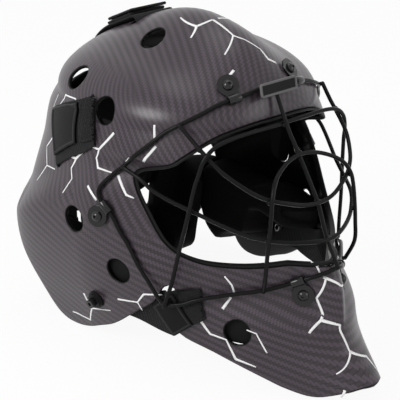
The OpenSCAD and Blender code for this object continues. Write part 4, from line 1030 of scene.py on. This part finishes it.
def patch(stations, nu, nv, rise, border=None, shift=None):
    """Grid laid over the shell, with its length and width. rise(u, w) is its height
    in millimetres; border(u, w) > 0 marks material 1; shift(u, w) moves its places."""
    bm, u, w = unit_grid(nu, nv)
    places = between(stations, u, w)
    if shift is not None:
        places = places + shift(u, w)
    points = above_shell(places[:, 0], places[:, 1], rise(u, w))
    centre_line = above_shell(*between(stations, np.linspace(0, 1, 30), np.full(30, 0.5)).T, np.zeros(30))
    length = np.linalg.norm(np.diff(centre_line, axis=0), axis=1).sum()
    ends = above_shell(*between(stations, np.array([0.5, 0.5]), np.array([0.0, 1.0])).T, np.zeros(2))
    width = np.linalg.norm(ends[1] - ends[0])
    uv = bm.loops.layers.uv.new("weave_map")
    for vert, point in zip(bm.verts, points):
        vert.co = point * MM
    bm.verts.index_update()
    for face in bm.faces:
        for loop in face.loops:
            i = loop.vert.index
            loop[uv].uv = (u[i] * length * MM, w[i] * width * MM)
        if border is not None:
            i = [v.index for v in face.verts]
            face.material_index = int(border(u[i].mean(), w[i].mean()) > 0)
    bm.normal_update()
    a, v = between(stations, np.array([0.5]), np.array([0.5]))[0]
    if sum((f.normal for f in bm.faces), Vector()).dot(Vector(shell_normal(a, v))) < 0:
        bmesh.ops.reverse_faces(bm, faces=bm.faces)
    return bm, length, width

def mirrored(bm):
    """A copy of the bmesh on the wearer's left."""
    other = bm.copy()
    bmesh.ops.scale(other, vec=(-1, 1, 1), verts=other.verts)
    bmesh.ops.reverse_faces(other, faces=other.faces)
    return other

def on_both_sides(name, bm, materials, node, thickness, bevel=0.4, body="helmet"):
    """Makes the right piece and its mirror image, which replace node_right and node_left."""
    made = []
    for side, mesh in (("right", bm), ("left", mirrored(bm))):
        obj = piece(name + "_" + side, mesh, materials, body, replaces=(node + "_" + side,))
        add_solidify(obj, thickness * MM)
        add_bevel(obj, bevel * MM, 3, 50)
        made.append(obj)
    return made

# %% Side straps
LIFT, STRAP, TAB = 0.4, 1.8, 2.4
SIDE_STRAP = corners(((-99.6, 152.6), (-84.2, 183.5), (-87.6, 222), (-110.8, 196)))
SIDE_TAB = corners(((-101.2, 160.5), (-91, 179.5), (-93.6, 212), (-110.2, 194.5)))
SIDE_HOOK = corners(((-90, 181.5), (-84.6, 188), (-87.4, 224), (-92.8, 214)))

def near_edge(u, w, length, width, inset, wide):
    """1 on a band that runs round a patch, inset from its edge."""
    d = np.minimum(np.minimum(u, 1 - u) * length, np.minimum(w, 1 - w) * width)
    return smooth((d - inset) / 0.5) * (1 - smooth((d - inset - wide) / 0.5))

def tab_patch(stations, nu, nv, top, border_rise, length, width, wide):
    """Patch with a raised border; length and width say how large it is taken to be."""
    border = lambda u, w: near_edge(u, w, length, width, 0.5, wide)
    return patch(stations, nu, nv, lambda u, w: top + border_rise * border(u, w),
                 border=lambda u, w: border(u, w) - 0.5)

strap_bm = patch(SIDE_STRAP, 40, 40, lambda u, w: np.full_like(u, LIFT + STRAP))[0]
on_both_sides("temple_webbing", strap_bm, [strap_web], "side_strap", STRAP)
side_on, BORDER = LIFT + STRAP + 0.3, 0.7
tab_bm, length, width = tab_patch(SIDE_TAB, 56, 84, side_on + TAB - BORDER, BORDER, 37, 35, 1.6)
print("side tab", round(length, 1), "x", round(width, 1), "mm")
on_both_sides("temple_tab", tab_bm, [tab_vinyl, tab_border], "side_tab", TAB - BORDER, 0.3)

# %% [markdown]
# The ends of the tabs are hook tape with a ragged pile. The patch's height
# and its free edges are shaken by a fixed pattern of sines, so that every run
# gives the same tufts.

# %% Hook ends
def tuft(u, w):
    """Pile of the hook tape, about -1 to 1."""
    fine = 0.6 * np.sin(127 * u + 91 * w + 0.4)
    return (np.sin(61 * u + 17 * w) * np.sin(53 * w + 11 * u + 1.3) + fine) * 0.6

def hook_patch(stations, nu, nv, top, depth=0.45, fray=0.5):
    """Patch with a tufted face, frayed along its far end and its two sides."""
    def rise(u, w):
        edge = np.minimum(np.minimum(u, 1 - u), np.minimum(w, 1 - w))
        return top - depth + depth * tuft(u, w) * smooth(edge / 0.06)
    def shift(u, w):
        end = smooth((u - 0.8) / 0.2) * np.sin(97 * w + 5 * np.sin(31 * w))
        sides = 1.6 * smooth((np.abs(w - 0.5) - 0.38) / 0.12) * np.sin(83 * u)
        return np.stack((fray * end, fray * sides), -1)
    return patch(stations, nu, nv, rise, shift=shift)[0]

side_hook = hook_patch(SIDE_HOOK, 44, 90, side_on + 1.6)
on_both_sides("temple_hook_tape", side_hook, [hook_pile], "side_hook", 1.1, 0.25)

# %% Jaw straps
JAW_STRAP = (((-84, 36), (-86, 62)), ((-72, 43.5), (-71, 68)), ((-58, 43), (-61.8, 74.5)),
             ((-51, 59), (-56, 83.5)), ((-48.2, 64.5), (-50.4, 87.5)))
JAW_TAB = corners(((-58, 44), (-51.6, 59), (-56.4, 81.5), (-61.6, 67.5)))
JAW_HOOK = corners(((-51, 60.5), (-48.4, 65), (-50.6, 86.8), (-55.8, 82.8)))

def jaw_rise(u, w):
    """Height of the jaw strap's top: under the ear flap, then out through the notch."""
    start, end = 0.265 + 0.345 * w, 0.52 + 0.17 * w
    return -WALL - 0.9 + (WALL + 0.9 + LIFT + STRAP) * smooth((u - start) / (end - start))

jaw_bm, length, width = patch(JAW_STRAP, 96, 30, jaw_rise)
print("jaw strap", round(length, 1), "x", round(width, 1), "mm")
on_both_sides("jaw_webbing", jaw_bm, [strap_web], "jaw_strap", STRAP)
jaw_on = LIFT + STRAP + 0.35
tab_bm = tab_patch(JAW_TAB, 44, 56, jaw_on + 1.0, 0.5, 20, 28, 1.3)[0]
on_both_sides("jaw_tab_face", tab_bm, [tab_vinyl, tab_border], "jaw_tab", 1.0, 0.25)
jaw_hook = hook_patch(JAW_HOOK, 36, 56, jaw_on + 1.5, 0.3, 0.3)
on_both_sides("jaw_hook_tape", jaw_hook, [hook_pile], "jaw_hook", 1.0, 0.2)

# %% [markdown]
# The side bands run inside the shell from the slots back to the plate, where
# rivets hold them. They are elastic.

# %% Side bands
PLATE_W, PLATE_TOP, PLATE_LOW, INSET, GAP = 64, 197, 62, 3, 6

def arc_half_width(w, top, r, v):
    return w - r + np.sqrt(np.maximum(0, r * r - np.maximum(0, np.asarray(v, float) - top + r) ** 2))

def rear_place(x, v):
    return (-float(angle_where(x, v, 90, 180)), v)

open_x = lambda v: float(arc_half_width(70, 206, 40, v))
plate_x = lambda v: float(arc_half_width(PLATE_W, PLATE_TOP, 34, v))
band_v = (154, 187)
slot_end = ((-103.5, 154), (-112.5, 187))
BAND = [[rear_place(x_at(v), v) for v in band_v] for x_at in (
    lambda v: plate_x(v) - 19, lambda v: open_x(v) - GAP * 0.57, lambda v: open_x(v) + 0.2)]
edge_places = np.array(BAND[-1])
BAND += [[tuple(edge_places[i] + (np.array(slot_end[i]) - edge_places[i]) * f / 3) for i in (0, 1)]
         for f in (1, 2, 3)]
band_bm, length, width = patch(
    BAND, 100, 24, lambda u, w: -WALL - 1.2 + (WALL + 1.7 - INSET + STRAP) * smooth(2 - 5 * u))
print("side band", round(length, 1), "x", round(width, 1), "mm")
for band in on_both_sides("elastic_band", band_bm, [strap_web], "side_band", STRAP, body=None):
    sign = -1 if "right" in band.name else 1
    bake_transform(band)

# %% [markdown]
# The top strap leaves its slot on the dome, runs down the back of the shell
# and ends on the plate. One length of webbing does both, so it bends at the
# plate's hinge line.

# %% Top strap
def flat_profile(width, thick):
    """Flat section with round edges, as (up, side) points."""
    r, turns = thick / 2, np.linspace(-math.pi / 2, math.pi / 2, 7)
    right = [(r + r * math.sin(t), width / 2 - r + r * math.cos(t)) for t in turns]
    across = [(thick, width / 2 - r - (width - thick) * k / 10) for k in range(1, 10)]
    left = [(r - r * math.sin(t), -width / 2 + r - r * math.cos(t)) for t in turns]
    under = [(0.0, -width / 2 + r + (width - thick) * k / 10) for k in range(1, 10)]
    return right + across + left + under

def strap_map(bm, path):
    """Weave map of a swept strap: metres along the path and across it."""
    uv = bm.loops.layers.uv.new("weave_map")
    run = np.concatenate(([0], np.cumsum(np.linalg.norm(np.diff(path, axis=0), axis=1))))
    for face in bm.faces:
        for loop in face.loops:
            co = np.array(loop.vert.co) / MM
            k = int(np.argmin(((path - co)[:, 1:] ** 2).sum(1)))
            loop[uv].uv = (run[k] * MM, co[0] * MM)

def swept_strap(name, points, profile, material, nodes, body="helmet"):
    """Strap down the middle of the back through the points; returns it and its length."""
    route = np.array(points)
    route[:, 0] = 0
    route = rounded_outline(route, False, 4)
    tangent = np.gradient(route, axis=0)
    up = np.stack((np.zeros(len(tangent)), tangent[:, 2], -tangent[:, 1]), -1)
    up *= np.sign((up * (0, 0.7, 1)).sum(1, keepdims=True))
    bm = bmesh.new()
    sweep(bm, route, profile, up=up)
    strap_map(bm, route)
    face_outward(bm)
    length = float(np.linalg.norm(np.diff(route, axis=0), axis=1).sum())
    return piece(name, bm, [material], body, replaces=nodes), length

STRAP_W = 40
end_y = shell_point(-180, PLATE_TOP)[1]
top_route = np.vstack([
    above_shell(-180, 288, -WALL - 9.2), above_shell(-180, 285.6, -WALL - 5.4), above_shell(-180, 283.4, -0.9),
    [above_shell(-180, v, 2 * LIFT) for v in (281.6, 275, 265, 255, 245, 235, 225, 217, 211)],
    shell_point(-180, 206) + (0, 0.6, 0.6), (0, end_y - INSET + 0.8, PLATE_TOP + 0.6 + ORIGIN[2]),
    [above_shell(-180, v, -INSET + 0.35) for v in (PLATE_TOP - 5, PLATE_TOP - 10, PLATE_TOP - 15, PLATE_TOP - 20)]])
top_webbing, length = swept_strap("top_webbing", top_route, flat_profile(STRAP_W, STRAP), strap_web,
                                  ("top_strap", "plate_strap_end"), None)
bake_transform(top_webbing)
print("top strap", round(length), "mm long")

# %% Top tab and its hook tape
TAB_RISE = ((281, 5.7), (277, 5.8), (272, 5.8), (267, 5.7), (262, 5.7), (257, 5.7))
swept_strap("top_tab_face", [above_shell(-180, v, h) for v, h in TAB_RISE], flat_profile(STRAP_W - 3, TAB),
            tab_vinyl, ("top_tab",))
HOOK_AT, HOOK_RISE, HOOK_THICK = (279.5, 275, 270, 265, 260, 254), 3, 2.4
swept_strap("top_hook_tape", [above_shell(-180, v, HOOK_RISE) for v in HOOK_AT],
            flat_profile(STRAP_W - 5, HOOK_THICK), hook_pile, ("top_hook",))

# %% [markdown]
# ## Back plate and padding
# The plate is a panel of the same moulding as the shell. Its grid is squeezed
# in row by row, so that its corners are round, and a wall closes it with the
# same rolled rim.

# %% Back plate
def rear_grid(width, low, high, radius, depth_at, nu, nv, flare):
    """Round-cornered panel behind the head, depth_at(u, w) under the shell's form."""
    bm = bmesh.new()
    angle_layer, height_layer = (bm.verts.layers.float.new(name) for name in ("angle", "height"))
    bmesh.ops.create_grid(bm, x_segments=nu, y_segments=nv, size=1)
    grid = np.array([v.co for v in bm.verts])
    z = low + (high - low) * (grid[:, 1] + 1) / 2
    near = np.maximum(0, radius - np.minimum(z - low, high - z))
    x = (width - radius + np.sqrt(np.maximum(0, radius**2 - near**2))) * grid[:, 0]
    a = angle_where(np.abs(x), z, 90, 180)
    points = shell_point(a, z, depth_at((grid[:, 0] + 1) / 2, (grid[:, 1] + 1) / 2))
    points[:, 0] *= np.sign(x) * np.sign(points[:, 0])
    points[:, 1] += flare * smooth((low + 30 - z) / 30)
    for vert, point, angle, height, across in zip(bm.verts, points, a, z, x):
        vert.co = point * MM
        vert[angle_layer], vert[height_layer] = (angle if across > 0 else -angle), height
    bm.normal_update()
    if sum((f.normal for f in bm.faces), Vector()).y < 0:
        bmesh.ops.reverse_faces(bm, faces=bm.faces)
    return bm, angle_layer, height_layer

plate_bm, plate_a, plate_v = rear_grid(PLATE_W, PLATE_LOW, PLATE_TOP, 34, lambda u, w: INSET, 64, 66, 5)
close_wall(plate_bm, WALL * MM, ROUND * MM)
lay_twill(plate_bm, plate_a, plate_v)
back_plate = piece("plate_skin", plate_bm, [shell_print, shell_inside], "rear_plate",
                   replaces=("back_plate",))
print("plate", len(back_plate.data.polygons), "faces")

# %% [markdown]
# The pads are cut from foam and heat-formed: flat against the shell, crowned
# towards the head, with sides that draw in. Each starts as a grid laid on the
# inner skin, is given its back by an extruded copy, and is smoothed by one
# level of subdivision.

# %% Pads
PAD, PAD_GAP = 12, 0.6

def bulge_of(t, edge):
    """Quarter-round rise from both ends of 0 to 1."""
    return np.sqrt(np.maximum(0, 1 - (1 - np.minimum(1, np.minimum(t, 1 - t) / edge)) ** 2))

def close_pad(bm, lower):
    """Joins a grid to its copy moved to the lower points."""
    rim = [e for e in bm.edges if e.is_boundary]
    copy = bmesh.ops.duplicate(bm, geom=bm.verts[:] + bm.edges[:] + bm.faces[:])["geom"]
    for v, co in zip(of_kind(copy, VERT), lower):
        v.co = co * MM
    back = [e for e in bm.edges if e.is_boundary and e not in set(rim)]
    bmesh.ops.bridge_loops(bm, edges=rim + back)
    face_outward(bm)

def pad_piece(name, bm, lower, node, body="helmet"):
    close_pad(bm, lower)
    obj = piece(name, bm, [foam], body, replaces=(node,))
    smoother = obj.modifiers.new("foam_round", "SUBSURF")
    smoother.levels = smoother.render_levels = 1

def shell_pad(name, node, stations, clear, thick, nu=20, nv=16, side=1, edges=(0.28, 0.28),
              thin=0.3, across=None, body="helmet"):
    """Pad between (angle, height) stations: clear is its distance from the inner skin,
    thin the share of its thickness left at its rim, across(u, w) how it swells from the
    low to the high edge. side -1 mirrors it to the wearer's left."""
    bm, u, w = unit_grid(nu, nv)
    a, v = between(stations, u, w).T
    inner, n = shell_point(a, v, WALL), shell_normal(a, v)
    flip = (side, 1, 1)
    under = clear(u) if callable(clear) else np.full_like(u, clear)
    swell = across(u, w) if across else bulge_of(w, edges[1])
    full = thick * (thin + (1 - thin) * bulge_of(u, edges[0]) * swell)
    for vert, co in zip(bm.verts, (inner - n * (under + full)[:, None]) * flip):
        vert.co = co * MM
    pad_piece(name, bm, (inner - n * under[:, None]) * flip, node, body)

BROW_V = float(height_at(212))
FOREHEAD = corners(((-42, BROW_V), (42, BROW_V), (40, BROW_V + 20), (-40, BROW_V + 20)))
shell_pad("forehead_foam", "forehead_pad", FOREHEAD, PAD_GAP, PAD, nu=30)
CHIN = ((-49, 46, 68), (-40, 46, 71), (-31, 47, 75), (-25, 52, 79), (-12, 52, 80))
chin_rows = [((a, low), (a, high)) for a, low, high in CHIN]
chin_rows += [((-low[0], low[1]), (-high[0], high[1])) for low, high in chin_rows[::-1]]
shell_pad("chin_foam", "chin_pad", chin_rows, PAD_GAP + 1.4, PAD, nu=46, edges=(0.14, 0.4))
TEMPLE = (((-93, 170), (-93, 203)), ((-90, 168), (-90, 203)), ((-88.3, 114), (-88, 203)), ((-84, 114), (-81, 203)),
          ((-81, 168), (-78, 203)), ((-69.5, 171), (-71.5, 203)), ((-62, 172), (-66, 203)))
CHEEK = (((-110, 60), (-110, 90)), ((-103, 45), (-103, 90)), ((-97, 31), (-97, 90)), ((-92, 23), (-91, 90)),
         ((-90, 38), (-86.5, 92)), ((-88, 66), (-81, 96)), ((-79, 72), (-74, 98)), ((-70, 74), (-66, 99)),
         ((-61, 77), (-58, 99)))
CROWN = corners(((-128, 250), (-62, 250), (-58, 278), (-132, 278)))
CHEEK_THICK, NAPE_THICK = 34, 44
for name, side in (("right", 1), ("left", -1)):
    shell_pad("crown_foam_" + name, "crown_pad_" + name, CROWN, PAD_GAP, PAD, side=side)
    shell_pad("temple_foam_" + name, "temple_pad_" + name, TEMPLE, PAD_GAP + 1.4, PAD, 43, 26, side, (0.12, 0.16))
    shell_pad("cheek_foam_" + name, "cheek_pad_" + name, CHEEK, PAD_GAP + 0.9, CHEEK_THICK, 41, 24, side,
              (0.06, 0.2), thin=0.6, across=lambda u, w: 0.75 + 0.25 * bulge_of(w, 0.2))

# neck foam: half-width, low and high edge of each station; it is fullest low down
# and thins towards its top, in the middle from half its height
NAPE = ((110.5, 46, 90), (106, 34, 91), (101, 21, 91), (94, 13, 91), (84, 11, 91), (72, 11, 90), (60, 11, 88),
        (52, 11, 84), (46, 11, 73.7), (44, 11, 50), (29, 11, 50), (26, 11, 73.7))
nape_turns = [(float(angle_where(x, 60, 90, 180)), low, high) for x, low, high in NAPE]
nape_rows = [((a - 360, low), (a - 360, high)) for a, low, high in nape_turns] + [((-180, 11), (-180, 73.7))]
nape_rows += [((-a, low), (-a, high)) for a, low, high in nape_turns[::-1]]

def nape_clear(u):
    return INSET + 0.3 + 1.2 * smooth(4 * np.abs(2 * u - 1) - 1)

def roll(u, w):
    wing = smooth((np.abs(2 * u - 1) - 0.55) / 0.15)
    return smooth((3 + 9 * wing) * (1 - w) - 1.2 * (1 - wing)) * (0.8 + 0.2 * smooth(w / 0.12))

shell_pad("nape_foam", "nape_pad", nape_rows, nape_clear, NAPE_THICK, 90, 22, edges=(0.05, 0.28), thin=0.2,
          across=roll, body="rear_plate")

def plate_pad(swell):
    """Panel inside the plate; swell 0 is its back, 1 its crowned face."""
    depth = lambda u, w: INSET + WALL + 0.3 + swell * PAD * (0.3 + 0.7 * bulge_of(u, 0.2) * bulge_of(w, 0.2))
    return rear_grid(PLATE_W - 12, PLATE_LOW + 12, PLATE_TOP - 12, 28, depth, 24, 26, 0)[0]

back_bm = plate_pad(0)
pad_backs = np.array([v.co for v in back_bm.verts]) / MM
back_bm.free()
pad_piece("plate_foam", plate_pad(1), pad_backs, "back_pad", "rear_plate")

# %% [markdown]
# ## Studio
# The floor and the world show white to the camera and to reflections, while
# soft lamps and a dimmer world give the light. A large key over the wearer's
# right ear makes the broad highlight on the dome.

# %% Floor, world and lamps
floor_bm = bmesh.new()
bmesh.ops.create_grid(floor_bm, x_segments=1, y_segments=1, size=6)
bmesh.ops.translate(floor_bm, verts=floor_bm.verts, vec=(0, 0, -0.0005))
floor_material = bpy.data.materials.new("studio_floor")
floor_material.use_nodes = True
tree = floor_material.node_tree
shader = tree.nodes["Principled BSDF"]
shader.inputs["Base Color"].default_value = grey(0.82)
shader.inputs["Roughness"].default_value = 0.9
white = tree.nodes.new("ShaderNodeEmission")
white.inputs["Color"].default_value = grey(1)
rays = tree.nodes.new("ShaderNodeLightPath")
blend_white = tree.nodes.new("ShaderNodeMixShader")
WHITE_SHARE = 0.93
direct = math_node(tree, "MAXIMUM", rays.outputs["Is Camera Ray"], rays.outputs["Is Glossy Ray"])
seen = math_node(tree, "MULTIPLY", direct, WHITE_SHARE)
tree.links.new(seen, blend_white.inputs[0])
tree.links.new(shader.outputs[0], blend_white.inputs[1])
tree.links.new(white.outputs[0], blend_white.inputs[2])
tree.links.new(blend_white.outputs[0], tree.nodes["Material Output"].inputs["Surface"])
floor = piece("studio_floor", floor_bm, [floor_material], body=None)

world = bpy.data.worlds.new("studio_world")
bpy.context.scene.world = world
world.use_nodes = True
tree = world.node_tree
rays = tree.nodes.new("ShaderNodeLightPath")
shown = math_node(tree, "MAXIMUM", rays.outputs["Is Camera Ray"], math_node(
    tree, "MAXIMUM", rays.outputs["Is Glossy Ray"], rays.outputs["Is Transmission Ray"]))
WORLD_LIGHT = 0.55     # what the world gives as light; it shows as 1
strength = math_node(tree, "MULTIPLY_ADD", shown, 1 - WORLD_LIGHT, WORLD_LIGHT)
tree.links.new(strength, tree.nodes["Background"].inputs["Strength"])
tree.nodes["Background"].inputs["Color"].default_value = grey(1)

def lamp(name, location, size, power, target=(0, 0.02, 0.12)):
    data = bpy.data.lights.new(name, "AREA")
    data.shape, data.size, data.energy = "DISK", size, power
    obj = bpy.data.objects.new(name, data)
    obj.location = location
    bpy.context.collection.objects.link(obj)
    aim(obj, target)

lamp("key_softbox", (-1.3, 0.1, 1.0), 0.7, 13)
lamp("fill_softbox", (0.7, -1.4, 0.7), 1.0, 5)
lamp("top_softbox", (0.1, 0.3, 1.6), 0.9, 3)
bpy.context.scene.view_settings.view_transform = "Standard"
